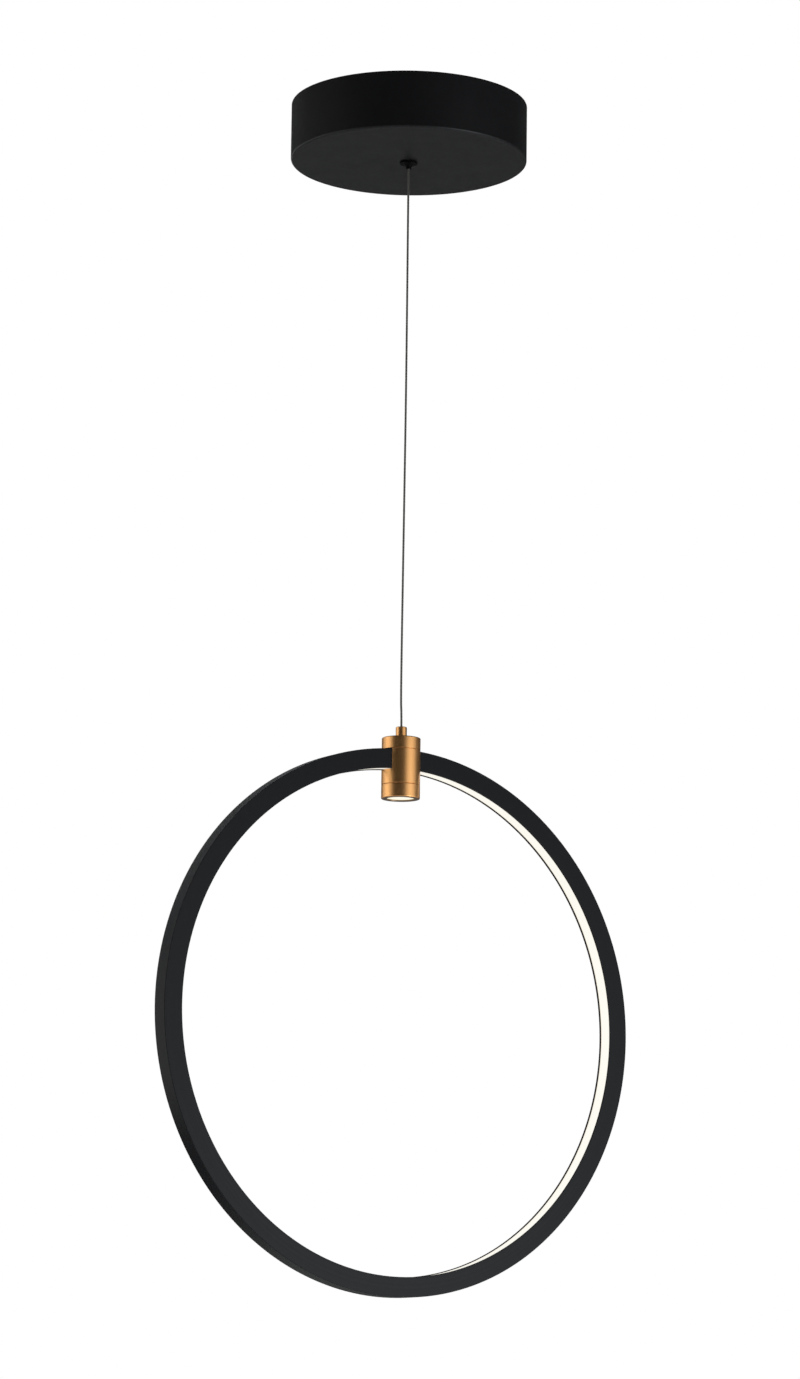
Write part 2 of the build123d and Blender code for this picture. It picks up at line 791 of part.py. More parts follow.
def make_ring_diffuser():
    half = ring_bore_width / 2 - fit_clearance
    inner = diffuser_inner_radius
    outer = inner + diffuser_thickness
    return hoop([(-half, inner), (half, inner), (half, outer), (-half, outer)], strip_end, inner)


def make_led_strip():
    half = strip_width / 2
    back = strip_outer_radius - solder_gap
    outline = [(-half, strip_inner_radius), (half, strip_inner_radius), (half, back), (-half, back)]
    return hoop(outline, strip_end, strip_inner_radius)


def make_strip_leds():
    face = strip_inner_radius - solder_gap
    package = block(led_length, led_width, face - led_height, face)
    half_open = degrees((strip_end + led_end_room) / face)
    step = degrees(led_pitch / face)
    count = int((360 - 2 * half_open) / step) + 1
    first = 180 - (count - 1) * step / 2
    return group([Pos(0, 0, ring_z) * Rot(0, first + step * i, 0) * package for i in range(count)])


def make_strip_leads():
    start = stop_bottom - hole_clearance
    end = strip_end - slot_clearance
    leads = []
    for side in (-1, 1):
        x = side * head_lead_spread / 2
        route = [(x, 0, start), (x, 0, groove_z), (side * end, 0, groove_z)]
        leads.append(lead(route, head_lead_diameter, "strip_lead"))
    return group(leads)


# Downlight


def make_downlight_leads():
    run = rod(head_lead_diameter / 2, led_board_top, stop_bottom - hole_clearance)
    return group([Pos(0, side * head_lead_spread / 2, 0) * run for side in (-1, 1)])


def make_head_bezel():
    inner = head_radius - head_seam_chamfer
    bezel = lathe([
        (lip_radius, head_bottom),
        (head_radius, head_bottom),
        (head_radius, lower_seam - head_seam_chamfer),
        (inner, lower_seam),
        (spigot_radius, lower_seam),
        (spigot_radius, spigot_top),
        (bezel_bore_radius, spigot_top),
        (bezel_bore_radius, lens_bottom),
        (lip_radius, lens_bottom),
    ])
    return fillet(rim(bezel, head_radius, head_bottom), head_edge_radius)


def make_downlight_lens():
    return rod(stack_radius, lens_bottom, lens_top)


def make_downlight_reflector():
    return lathe([
        (stack_radius - reflector_mouth_wall, lens_top),
        (stack_radius, lens_top),
        (stack_radius, reflector_top),
        (reflector_throat_diameter / 2, reflector_top),
    ])


def make_led_board():
    return rod(stack_radius, reflector_top, led_board_top)


def make_led_emitter():
    return rod(emitter_diameter / 2, reflector_top - emitter_height, reflector_top)


def make_heat_sink():
    return tube(stack_radius, head_lead_hole / 2, led_board_top, sink_top)


def make_retaining_ring():
    return tube(stack_radius, stack_radius - retaining_ring_width, sink_top, spigot_top)


makers = {
    "canopy_cover": make_canopy_cover,
    "mounting_bracket": make_mounting_bracket,
    "bracket_ears": make_bracket_ears,
    "canopy_screws": make_canopy_screws,
    "earth_screw": make_earth_screw,
    "earth_lug": make_earth_lug,
    "earth_lead": make_earth_lead,
    "driver_tape": make_driver_tape,
    "driver_case": make_driver_case,
    "driver_lid": make_driver_lid,
    "driver_board": make_driver_board,
    "driver_components": make_driver_components,
    "terminal_tape": make_terminal_tape,
    "terminal_block": make_terminal_block,
    "terminal_sleeves": make_terminal_sleeves,
    "terminal_screws": make_terminal_screws,
    "supply_leads": make_supply_leads,
    "cord_grip": make_cord_grip,
    "grip_screw": make_grip_screw,
    "grip_washer": make_grip_washer,
    "grip_nut": make_grip_nut,
    "cable_tail": make_cable_tail,
    "cable_bend": make_cable_bend,
    "suspension_cable": make_suspension_cable,
    "cable_stop": make_cable_stop,
    "cable_collar": make_cable_collar,
    "head_cap": make_head_cap,
    "head_body": make_head_body,
    "head_screws": make_head_screws,
    "web_screws": make_web_screws,
    "ring_channel": make_ring_channel,
    "ring_joiner": make_ring_joiner,
    "joiner_screws": make_joiner_screws,
    "ring_diffuser": make_ring_diffuser,
    "led_strip": make_led_strip,
    "strip_leds": make_strip_leds,
    "strip_leads": make_strip_leads,
    "downlight_leads": make_downlight_leads,
    "head_bezel": make_head_bezel,
    "downlight_lens": make_downlight_lens,
    "downlight_reflector": make_downlight_reflector,
    "led_board": make_led_board,
    "led_emitter": make_led_emitter,
    "heat_sink": make_heat_sink,
    "retaining_ring": make_retaining_ring,
}

os.makedirs("parts", exist_ok=True)
for name, make in makers.items():
    export_step(make(), f"parts/{name}.step")
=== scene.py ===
import json
import math

import bmesh
import bpy
from bpy.props import FloatProperty, FloatVectorProperty, IntProperty, PointerProperty
from mathutils import Matrix, Vector


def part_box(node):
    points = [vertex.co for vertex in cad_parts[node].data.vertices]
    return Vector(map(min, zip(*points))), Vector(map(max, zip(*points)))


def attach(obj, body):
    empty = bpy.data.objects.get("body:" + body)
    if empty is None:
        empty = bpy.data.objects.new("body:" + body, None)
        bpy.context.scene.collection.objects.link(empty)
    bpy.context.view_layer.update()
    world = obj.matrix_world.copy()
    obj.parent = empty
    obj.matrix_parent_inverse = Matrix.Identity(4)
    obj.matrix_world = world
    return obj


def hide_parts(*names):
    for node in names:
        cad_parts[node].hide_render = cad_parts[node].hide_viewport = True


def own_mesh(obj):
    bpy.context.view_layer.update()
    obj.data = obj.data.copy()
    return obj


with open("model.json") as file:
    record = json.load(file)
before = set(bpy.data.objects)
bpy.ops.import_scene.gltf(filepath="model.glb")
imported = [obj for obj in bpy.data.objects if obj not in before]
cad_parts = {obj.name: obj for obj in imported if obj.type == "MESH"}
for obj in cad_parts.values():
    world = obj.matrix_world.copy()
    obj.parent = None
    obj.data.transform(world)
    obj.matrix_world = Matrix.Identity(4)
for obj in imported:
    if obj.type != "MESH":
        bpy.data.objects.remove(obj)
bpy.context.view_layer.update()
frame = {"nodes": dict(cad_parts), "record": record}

bl_info = {
    "name": "Ring Pendant Light",
    "version": (1, 0, 0),
    "blender": (4, 5, 0),
    "location": "View3D > Sidebar > Pendant",
    "description": "Models and finishes a ring pendant light around its CAD frame",
    "category": "Add Mesh",
}

# One millimetre in Blender's metres
MM = 0.001
ORIGIN = Vector((0, 0, 0))

# Levels and radii that the CAD frame gives
CANOPY_RADIUS = round(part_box("canopy_cover")[1].x, 5)
CANOPY_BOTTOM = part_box("canopy_cover")[0].z
NOSE_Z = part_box("cord_grip")[0].z
COLLAR_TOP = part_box("cable_collar")[1].z
STOP_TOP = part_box("cable_stop")[1].z
RING_RADIUS = round(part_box("ring_channel")[1].x, 5)
RING_CENTRE = Vector((0, 0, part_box("ring_channel")[0].z + RING_RADIUS))
LENS_LOW, LENS_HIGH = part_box("downlight_lens")

# Vertices nearer than this are one, in a new mesh and in a copy of a CAD node
SAME_POINT = 1e-7
SAME_CAD_POINT = 1e-6
# A vertex nearer than this to a level or a radius lies on it
ON_IT = 1e-5

# Widths of broken edges, and the shortest edges of a nut and of a moulding that are rounded
SLEEVE_EDGE = 0.06 * MM
SCREW_EDGE = 0.08 * MM
TURNED_EDGE = 0.12 * MM
NUT_EDGE = 0.3 * MM
NUT_RUN = 3 * MM
MOULDED_EDGE = 0.5 * MM
MOULDED_RUN = 6 * MM

# Radii of the hole and the countersink for a canopy screw
CANOPY_SCREW_HOLE = 2.05 * MM
CANOPY_SCREW_SINK = 3.25 * MM
# Holes along the bracket's plate for house wires, earth screw and box screws: place and radius in millimetres
BRACKET_HOLES = ((0, 5.25), (24, 2.05), (44.45, 2.5), (-44.45, 2.5))

# The two screws of the ring's joiner: place on the ring's top, and the far side of a head from the middle
JOINER_SCREW = Vector((7, 2.2, 0)) * MM
JOINER_SCREW_REACH = 8.8 * MM
# Radii of a joiner screw's hole and countersink, with their depths
JOINER_HOLE, JOINER_HOLE_DEPTH = 1.05 * MM, 3.2 * MM
JOINER_SINK, JOINER_SINK_DEPTH = 1.85 * MM, 1.2 * MM
# Play between the diffuser and the channel
DIFFUSER_PLAY = 0.05 * MM

# Sides of the cable's section for each strand, and of a lead's section, with those that a stripe covers
STRAND_SIDES = 3
LEAD_SIDES = 16
STRIPE_SIDES = 7


# Settings that a user would change


def length(name, description, default):
    """A length setting in metres."""
    return FloatProperty(name=name, description=description, default=default, min=0.0, unit="LENGTH",
                         precision=5)


def angle(name, description, default):
    """An angle setting in radians."""
    return FloatProperty(name=name, description=description, default=default, subtype="ANGLE")


def count(name, description, default, least):
    """A setting that counts something."""
    return IntProperty(name=name, description=description, default=default, min=least)


def colour(name, description, default):
    """A colour setting."""
    return FloatVectorProperty(name=name, description=description, default=default, size=3, min=0.0, max=1.0,
                               subtype="COLOR")


class PendantCanopySettings(bpy.types.PropertyGroup):
    """Sizes and colours of the canopy and of what is inside it."""

    wall: length("Wall", "Thickness of the canopy's sheet", 1.2 * MM)
    edge_radius: length("Lower edge", "Radius of the canopy's lower edge", 1.5 * MM)
    inner_edge_radius: length("Inner edge", "Radius inside the canopy's lower edge", 0.5 * MM)
    rim_radius: length("Rim", "Softness of the canopy's upper rim", 0.25 * MM)
    grip_hole: length("Grip hole", "Radius of the hole for the cord grip", 4.1 * MM)
    segments: count("Segments", "Steps round the canopy", 192, 24)
    turn: angle("Bracket turn", "Direction of the bracket", math.radians(-30.0))
    screw_drop: length("Screw drop", "How far the canopy screws lie below the ceiling", 8.0 * MM)
    paint: colour("Paint", "Powder coat of the canopy", (0.0045, 0.0045, 0.0051))
    worn_paint: colour("Edge paint", "Powder coat where an edge thins it", (0.012, 0.012, 0.0125))
    bracket_width: length("Bracket width", "Width of the bracket's strip", 22.0 * MM)
    bracket_thickness: length("Bracket sheet", "Thickness of the bracket's strip", 2.0 * MM)
    bracket_reach: length("Bracket reach", "From the middle to the outside of an ear", 75.6 * MM)
    ear_height: length("Ear height", "Height of the bracket's ears", 14.0 * MM)
    ear_corner: length("Ear corner", "Radius of an ear's corners", 4.0 * MM)
    bend_radius: length("Bend", "Radius outside the bracket's bends", 1.5 * MM)
    inner_bend_radius: length("Inner bend", "Radius inside the bracket's bends", 0.5 * MM)
    bracket_edge: length("Bracket edge", "Width of the broken edges on the bracket", 0.2 * MM)


class PendantCableSettings(bpy.types.PropertyGroup):
    """Sizes and colours of the suspension cable and the leads."""

    diameter: length("Diameter", "Outside of the suspension cable", 1.4 * MM)
    lay: length("Lay", "Length in which the strands go once round", 12.0 * MM)
    strands: count("Strands", "Strands in the cable's outer layer", 6, 3)
    groove: FloatProperty(name="Groove", description="Radius between the strands, as a share of the cable's",
                          default=0.88, min=0.7, max=1.0, subtype="FACTOR")
    metal: colour("Strands", "Colour of the cable's strands", (0.168, 0.163, 0.147))
    # Painted shade: this darker colour between the strands stands in for the shadow in the cable's grooves.
    shade: colour("Between strands", "Colour between the cable's strands", (0.040, 0.039, 0.035))
    lead_diameter: length("Lead diameter", "Outside of a lead in the canopy", 2.0 * MM)


class PendantHeadSettings(bpy.types.PropertyGroup):
    """Sizes and colours of the turned head."""

    softness: length("Edge softness", "Width of the broken edges on the head", 0.12 * MM)
    metal: colour("Metal", "Anodised colour of the head", (0.86, 0.455, 0.175))
    shade: colour("Metal shade", "Anodised colour in the turning lines", (0.80, 0.41, 0.15))
    # Painted shade: this dark colour along the head's edges and seams stands in for the shadow in them.
    edge: colour("Metal edge", "Anodised colour along edges and seams", (0.25, 0.13, 0.05))
    lip: colour("Lip", "Duller colour around the mouth of the downlight", (0.20, 0.135, 0.085))
    lip_height: length("Lip height", "From the mouth of the downlight up to its lens", 0.8 * MM)
    lens_edge_radius: length("Lens edge", "Radius of the lens's lower edge", 0.3 * MM)


class PendantRingSettings(bpy.types.PropertyGroup):
    """Sizes and colours of the light ring."""

    depth: length("Depth", "From the outside of the ring to its mouth", 12.8 * MM)
    width: length("Width", "Width of the ring's channel", 12.4 * MM)
    back_wall: length("Back wall", "Thickness of the channel's back", 1.6 * MM)
    side_wall: length("Side wall", "Thickness of the channel's sides", 1.3 * MM)
    corner_radius: length("Corner", "Radius of the channel's outer corners", 0.5 * MM)
    lip_radius: length("Lip", "Radius of the channel's lips", 0.25 * MM)
    inner_lip_radius: length("Inner lip", "Radius of the lips beside the diffuser", 0.1 * MM)
    ledge_reach: length("Ledge", "How far the diffuser's ledge stands out", 0.6 * MM)
    ledge_height: length("Ledge height", "Height of the diffuser's ledge", 0.8 * MM)
    joint_gap: length("Joint", "Gap between the channel's ends, inside the head", 8.0 * MM)
    diffuser: length("Diffuser", "Thickness of the diffuser", 1.6 * MM)
    diffuser_inset: length("Diffuser inset", "How far the diffuser lies behind the channel's lips", 0.5 * MM)
    diffuser_gap: length("Diffuser gap", "Gap between the diffuser's ends, inside the head", 21.0 * MM)
    diffuser_edge: length("Diffuser edge", "Radius of the diffuser's edges", 0.15 * MM)
    segments: count("Segments", "Steps round the ring", 256, 48)
    paint: colour("Paint", "Satin finish of the ring", (0.0046, 0.0049, 0.0060))
    worn_paint: colour("Edge paint", "Satin finish along the ring's edges", (0.016, 0.016, 0.017))


class PendantGlowSettings(bpy.types.PropertyGroup):
    """Colours and strengths of the two lights."""

    opal: colour("Opal plastic", "Colour of the diffuser and the lens", (0.36, 0.355, 0.345))
    strip: colour("Strip", "Light of the ring's diffuser", (0.74, 0.72, 0.645))
    strip_edge: colour("Strip edge", "Light beside the channel's lips", (0.72, 0.61, 0.47))
    lens: colour("Lens", "Light in the middle of the lens", (0.80, 0.74, 0.60))
    lens_edge: colour("Lens edge", "Light at the rim of the lens", (0.78, 0.68, 0.44))
    strength: FloatProperty(name="Strength", description="Strength of both lights", default=1.0, min=0.0)


class PendantStageSettings(bpy.types.PropertyGroup):
    """The camera, the floor and the soft light round the object."""

    camera_place: FloatVectorProperty(name="Camera", description="Place of the camera", size=3, unit="LENGTH",
                                      default=(-1.5358, -2.3870, -0.8992), subtype="TRANSLATION")
    yaw: angle("Yaw", "Camera's direction from +Y towards +X", 0.5713)
    pitch: angle("Pitch", "Camera's direction above the horizon", 0.1769)
    roll: angle("Roll", "Camera's turn about its own direction", 0.0130)
    lens: FloatProperty(name="Lens", description="Camera's focal length", default=116.4, min=10.0,
                        unit="CAMERA")
    floor_z: FloatProperty(name="Floor", description="Height of the floor, from the ceiling at 0",
                           default=-2.4, unit="LENGTH")
    floor_radius: length("Floor radius", "Radius of the floor", 6.0)
    floor_colour: colour("Floor colour", "Colour of the floor", (0.82, 0.82, 0.81))
    soft_light: FloatProperty(name="Soft light", description="Strength of the light from all round",
                              default=0.7, min=0.0)
    box_strength: FloatProperty(name="Softboxes", description="Power of the right softbox", default=24.0,
                                min=0.0, unit="POWER")
    box_distance: length("Softbox distance", "Distance of the softboxes from the cable", 2.2)
    screen_radius: length("Screens", "Distance of the large screens from the cable", 3.2)
    card_radius: length("Cards", "Distance of the two pale screens from the cable", 1.1)
    screen_top: length("Upper screen", "Height of the upper screen's lower edge over the ceiling", 0.2)


# Node groups and finishes


def add(tree, kind, values=None, **settings):
    """A shader node with its socket values and settings."""
    made = tree.nodes.new("ShaderNode" + kind)
    for name, value in settings.items():
        setattr(made, name, value)
    for name, value in (values or {}).items():
        made.inputs[name].default_value = value
    return made


def wire(tree, *rows):
    """Links nodes: each row is a node, its output, the next node and its input."""
    for source, output, target, socket in rows:
        tree.links.new(source.outputs[output], target.inputs[socket])


def opaque(rgb):
    """A colour with full alpha, as shader sockets take it."""
    return (*rgb, 1.0)


def toned(rgb, share, lift=0.0):
    """A darker or paler tone of a colour."""
    return [min(1.0, share * part + lift) for part in rgb]


def axis_fade(tree, start, end):
    """A node whose Result goes from 0 to 1 between two distances from the Z axis."""
    place = add(tree, "TexCoord")
    flat = add(tree, "VectorMath", {1: (1, 1, 0)}, operation="MULTIPLY")
    away = add(tree, "VectorMath", operation="LENGTH")
    fade = add(tree, "MapRange", {"From Min": start, "From Max": end}, interpolation_type="SMOOTHSTEP")
    wire(tree, (place, "Object", flat, 0), (flat, "Vector", away, 0), (away, "Value", fade, "Value"))
    return fade


def new_group(name, output, inputs):
    """An empty shader node group with named inputs and one output value, and its two ends."""
    tree = bpy.data.node_groups.new(name, "ShaderNodeTree")
    for socket, default in inputs.items():
        kind = "NodeSocketVector" if isinstance(default, tuple) else "NodeSocketFloat"
        tree.interface.new_socket(name=socket, in_out="INPUT", socket_type=kind).default_value = default
    tree.interface.new_socket(name=output, in_out="OUTPUT", socket_type="NodeSocketFloat")
    return tree, tree.nodes.new("NodeGroupInput"), tree.nodes.new("NodeGroupOutput")


def spread_noise(tree, start, noise, end):
    """Puts out a noise between a group's Low and High."""
    spread = add(tree, "MapRange", {"From Min": 0.3, "From Max": 0.7})
    wire(
        tree,
        (noise, "Fac", spread, "Value"),
        (start, "Low", spread, "To Min"),
        (start, "High", spread, "To Max"),
        (spread, "Result", end, "Value"),
    )


def grain_group(name):
    """Cloudy grain between two values, at any scale."""
    tree, start, end = new_group(name, "Value", {"Scale": 100.0, "Detail": 3.0, "Low": 0.0, "High": 1.0})
    place = add(tree, "TexCoord")
    noise = add(tree, "TexNoise", {"Roughness": 0.6})
    wire(
        tree,
        (place, "Object", noise, "Vector"),
        (start, "Scale", noise, "Scale"),
        (start, "Detail", noise, "Detail"),
    )
    spread_noise(tree, start, noise, end)
    return tree


def lines_group(name):
    """Fine lines that run round the Z axis of the vector, as a lathe or a drawing die leaves them."""
    inputs = {"Vector": (0.0, 0.0, 0.0), "Density": 6000.0, "Low": 0.0, "High": 1.0}
    tree, start, end = new_group(name, "Value", inputs)
    split = add(tree, "SeparateXYZ")
    flat = add(tree, "CombineXYZ")
    radius = add(tree, "VectorMath", operation="LENGTH")
    bearing = add(tree, "Math", operation="ARCTAN2")
    drift = add(tree, "Math", operation="SINE")
    across = add(tree, "CombineXYZ")
    dense = add(tree, "VectorMath", operation="SCALE")
    aside = add(tree, "CombineXYZ")
    together = add(tree, "VectorMath", operation="ADD")
    noise = add(tree, "TexNoise", {"Scale": 1.0, "Detail": 4.0, "Roughness": 0.7})
    wire(
        tree,
        (start, "Vector", split, "Vector"),
        (split, "X", flat, "X"),
        (split, "Y", flat, "Y"),
        (flat, "Vector", radius, 0),
        (split, "Y", bearing, 0),
        (split, "X", bearing, 1),
        (bearing, "Value", drift, 0),
        (radius, "Value", across, "X"),
        (split, "Z", across, "Y"),
        (across, "Vector", dense, 0),
        (start, "Density", dense, "Scale"),
        (drift, "Value", aside, "Z"),
        (dense, "Vector", together, 0),
        (aside, "Vector", together, 1),
        (together, "Vector", noise, "Vector"),
    )
    spread_noise(tree, start, noise, end)
    return tree


def wear_and_shade_group(name):
    """The softened edges, broken up by a fine noise: wear on paint, metal and plastic, and painted shade
    along the head's edges and seams.
    """
    tree, start, end = new_group(name, "Mask", {"Scale": 400.0, "Amount": 0.8})
    edge = add(tree, "Attribute", attribute_name="edge")
    place = add(tree, "TexCoord")
    noise = add(tree, "TexNoise", {"Detail": 4.0})
    spread = add(tree, "MapRange", {"From Min": 0.35, "From Max": 0.6, "To Min": 0.35, "To Max": 1.0})
    broken = add(tree, "Math", operation="MULTIPLY")
    mask = add(tree, "Math", operation="MULTIPLY")
    wire(
        tree,
        (place, "Object", noise, "Vector"),
        (start, "Scale", noise, "Scale"),
        (noise, "Fac", spread, "Value"),
        (edge, "Fac", broken, 0),
        (spread, "Result", broken, 1),
        (broken, "Value", mask, 0),
        (start, "Amount", mask, 1),
        (mask, "Value", end, "Mask"),
    )
    return tree


GROUPS = {"Surface grain": grain_group, "Turning lines": lines_group, "Edge wear": wear_and_shade_group}


class Finish:
    """One material with its shader, which takes grain, lines, relief, and edge wear that on the head is
    painted shade, from the shared groups.
    """

    def __init__(self, name, constants):
        self.material = bpy.data.materials.new(name)
        self.material.use_nodes = True
        self.tree = self.material.node_tree
        self.shader = self.tree.nodes["Principled BSDF"]
        for socket, value in constants.items():
            self.shader.inputs[socket].default_value = value

    def group(self, name, values):
        """A shared group, built at its first use, with this material's own values."""
        shared = bpy.data.node_groups.get(name) or GROUPS[name](name)
        return add(self.tree, "Group", values, node_tree=shared)

    def grain(self, scale, between=(0.0, 1.0), detail=3.0):
        """Cloudy values between two ends."""
        low, high = between
        values = {"Scale": scale, "Detail": detail, "Low": low, "High": high}
        return self.group("Surface grain", values).outputs["Value"]

    def lines(self, density, between=(0.0, 1.0), along_ring=False):
        """Values in fine lines round the cable's axis, or along the ring."""
        low, high = between
        made = self.group("Turning lines", {"Density": density, "Low": low, "High": high})
        place = add(self.tree, "TexCoord")
        if along_ring:
            laid_flat = {"Rotation": (math.pi / 2, 0, 0), "Location": (0, RING_CENTRE.z, 0)}
            centred = add(self.tree, "Mapping", laid_flat)
            wire(self.tree, (place, "Object", centred, "Vector"), (centred, "Vector", made, "Vector"))
        else:
            wire(self.tree, (place, "Object", made, "Vector"))
        return made.outputs["Value"]

    def wear(self, scale, amount):
        """A mask of the softened edges: wear on most finishes, painted shade along the head's edges and
        seams.
        """
        return self.group("Edge wear", {"Scale": scale, "Amount": amount}).outputs["Mask"]

    def attribute(self, name):
        """A mask that the mesh carries."""
        return add(self.tree, "Attribute", attribute_name=name).outputs["Fac"]

    def blend(self, first, second, factor):
        """A colour between two colours or colour sockets."""
        mixed = add(self.tree, "Mix", data_type="RGBA")
        for socket, value in ((6, first), (7, second)):
            if isinstance(value, bpy.types.NodeSocket):
                self.tree.links.new(value, mixed.inputs[socket])
            else:
                mixed.inputs[socket].default_value = opaque(value)
        self.tree.links.new(factor, mixed.inputs[0])
        return mixed.outputs[2]

    def feed(self, socket, source):
        """Links a value to the shader."""
        self.tree.links.new(source, self.shader.inputs[socket])

    def relief(self, source, depth, strength):
        """Raises the surface by a value; depth is in millimetres."""
        bump = add(self.tree, "Bump", {"Strength": strength, "Distance": depth * MM})
        self.tree.links.new(source, bump.inputs["Height"])
        self.feed("Normal", bump.outputs["Normal"])

    def pebbles(self, scale, depth, strength):
        """A fine grain in relief."""
        self.relief(self.grain(scale, detail=2.0), depth, strength)


def paint(name, tint, edge_toned, roughness, specular, along_ring=False):
    """Black or coloured paint: a fine pebbled or drawn relief, uneven gloss and lighter edges."""
    made = Finish(name, {"Specular IOR Level": specular})
    body = made.blend(toned(tint, 0.82), tint, made.grain(260.0, detail=4.0))
    made.feed("Base Color", made.blend(body, edge_toned, made.wear(500.0, 0.8)))
    if along_ring:
        made.feed("Roughness", made.lines(2500.0, roughness, along_ring=True))
        made.relief(made.lines(5000.0, along_ring=True), 0.004, 0.5)
    else:
        made.feed("Roughness", made.grain(35.0, roughness, detail=4.0))
        made.pebbles(1800.0, 0.02, 0.35)
    return made.material


def satin_metal(name, tint, shade, edge, lip, roughness):
    """Anodised metal: faint turning lines, a soft cloudiness, painted shade along edges and seams, and a dull
    lip.
    """
    made = Finish(name, {"Metallic": 1.0})
    body = made.blend(shade, tint, made.lines(3000.0, (0.3, 1.0)))
    clouded = made.blend(body, shade, made.grain(40.0, (0.0, 0.4)))
    # Painted shade: the edge colour darkens the softened edges and the seams as a shadow line.
    edge_toned = made.blend(clouded, edge, made.wear(900.0, 0.8))
    made.feed("Base Color", made.blend(edge_toned, lip, made.attribute("lip")))
    made.feed("Roughness", made.lines(2000.0, roughness))
    made.relief(made.lines(6000.0), 0.0005, 0.3)
    return made.material


def turned_metal(name, tint, shade, roughness, density=5000.0):
    """Bare or plated metal with fine turning lines and a little brightness on its edges."""
    made = Finish(name, {"Metallic": 1.0})
    body = made.blend(shade, tint, made.lines(density))
    clouded = made.blend(body, shade, made.grain(60.0, (0.0, 0.35)))
    made.feed("Base Color", made.blend(clouded, toned(tint, 1.12), made.wear(900.0, 0.7)))
    made.feed("Roughness", made.lines(0.6 * density, roughness))
    made.relief(made.lines(1.4 * density), 0.002, 0.5)
    return made.material


def plated_steel(name, tint, second, roughness):
    """Zinc plate: two pale tints in soft patches, with a fine darker grain."""
    made = Finish(name, {"Metallic": 1.0})
    body = made.blend(tint, second, made.grain(45.0))
    made.feed("Base Color", made.blend(body, toned(tint, 0.9), made.grain(900.0, (0.0, 0.6), detail=2.0)))
    made.feed("Roughness", made.grain(220.0, roughness, detail=5.0))
    made.pebbles(1500.0, 0.004, 0.4)
    return made.material


def plastic(name, tint, roughness, grain=1600.0, depth=0.006, specular=0.45, variation=0.9):
    """Moulded plastic: a slight cloudiness, a fine sparked relief and paler edges."""
    made = Finish(name, {"Specular IOR Level": specular})
    body = made.blend(toned(tint, variation), tint, made.grain(120.0, detail=4.0))
    made.feed("Base Color", made.blend(body, toned(tint, 1.08, 0.004), made.wear(600.0, 0.6)))
    made.feed("Roughness", made.grain(80.0, roughness, detail=4.0))
    made.pebbles(grain, depth, 0.4)
    return made.material


def striped_insulation(name, tint, stripe, roughness):
    """Two-coloured insulation, with a stripe along the lead."""
    made = Finish(name, {"Specular IOR Level": 0.45})
    body = made.blend(toned(tint, 0.9), tint, made.grain(150.0))
    sharp = add(made.tree, "MapRange", {"From Min": 0.45, "From Max": 0.55})
    made.tree.links.new(made.attribute("stripe"), sharp.inputs["Value"])
    made.feed("Base Color", made.blend(body, stripe, sharp.outputs["Result"]))
    made.feed("Roughness", made.grain(200.0, roughness))
    made.pebbles(1500.0, 0.005, 0.3)
    return made.material


def circuit_board(name, tint, track, roughness):
    """A green board with paler tracks."""
    made = Finish(name, {"Specular IOR Level": 0.5})
    place = add(made.tree, "TexCoord")
    bricks = add(made.tree, "TexBrick", {"Scale": 120.0, "Mortar Size": 0.06, "Mortar Smooth": 0.2})
    wire(made.tree, (place, "Object", bricks, "Vector"))
    body = made.blend(toned(tint, 0.85), tint, made.grain(300.0))
    made.feed("Base Color", made.blend(body, track, bricks.outputs["Fac"]))
    made.feed("Roughness", made.grain(150.0, roughness))
    made.relief(bricks.outputs["Fac"], 0.03, 0.5)
    return made.material


def stranded_cable(name, metal, shade, roughness):
    """Bare strands, with painted shade in the grooves between them."""
    made = Finish(name, {"Metallic": 0.6, "Specular IOR Level": 0.4})
    body = made.blend(toned(metal, 0.85), metal, made.grain(700.0))
    # Painted shade in the grooves between the strands, from the mesh's groove mark.
    made.feed("Base Color", made.blend(body, shade, made.attribute("groove")))
    made.feed("Roughness", made.grain(500.0, roughness))
    made.pebbles(4000.0, 0.004, 0.4)
    return made.material


def lit_plastic(name, tint, strength, roughness, middle, edge, mask):
    """Opal plastic lit from behind: mask(finish) says how far a point lies from the middle, 0 to 1."""
    made = Finish(name, {"Specular IOR Level": 0.3, "Emission Strength": strength})
    made.feed("Base Color", made.blend(toned(tint, 0.96), tint, made.grain(300.0)))
    glow = made.blend(middle, edge, mask(made))
    made.feed("Emission Color", made.blend(glow, toned(middle, 0.97), made.grain(150.0, (0.0, 0.3))))
    made.feed("Roughness", made.grain(500.0, roughness))
    made.pebbles(2500.0, 0.005, 0.3)
    return made.material


def beside_lips(made):
    """0 along the middle of the ring's diffuser, 1 beside the channel's lips."""
    ring = bpy.context.scene.pendant_ring
    half = ring.width / 2 - ring.side_wall
    place = add(made.tree, "TexCoord")
    split = add(made.tree, "SeparateXYZ")
    away = add(made.tree, "Math", operation="ABSOLUTE")
    spread = add(made.tree, "MapRange", {"From Min": 0.75 * half, "From Max": half},
                 interpolation_type="SMOOTHSTEP")
    wire(
        made.tree,
        (place, "Object", split, "Vector"),
        (split, "Y", away, 0),
        (away, "Value", spread, "Value"),
    )
    return spread.outputs["Result"]


def from_axis(made):
    """0 in the middle of the lens, 1 at its rim."""
    radius = LENS_HIGH.x
    return axis_fade(made.tree, 0.55 * radius, radius).outputs["Result"]


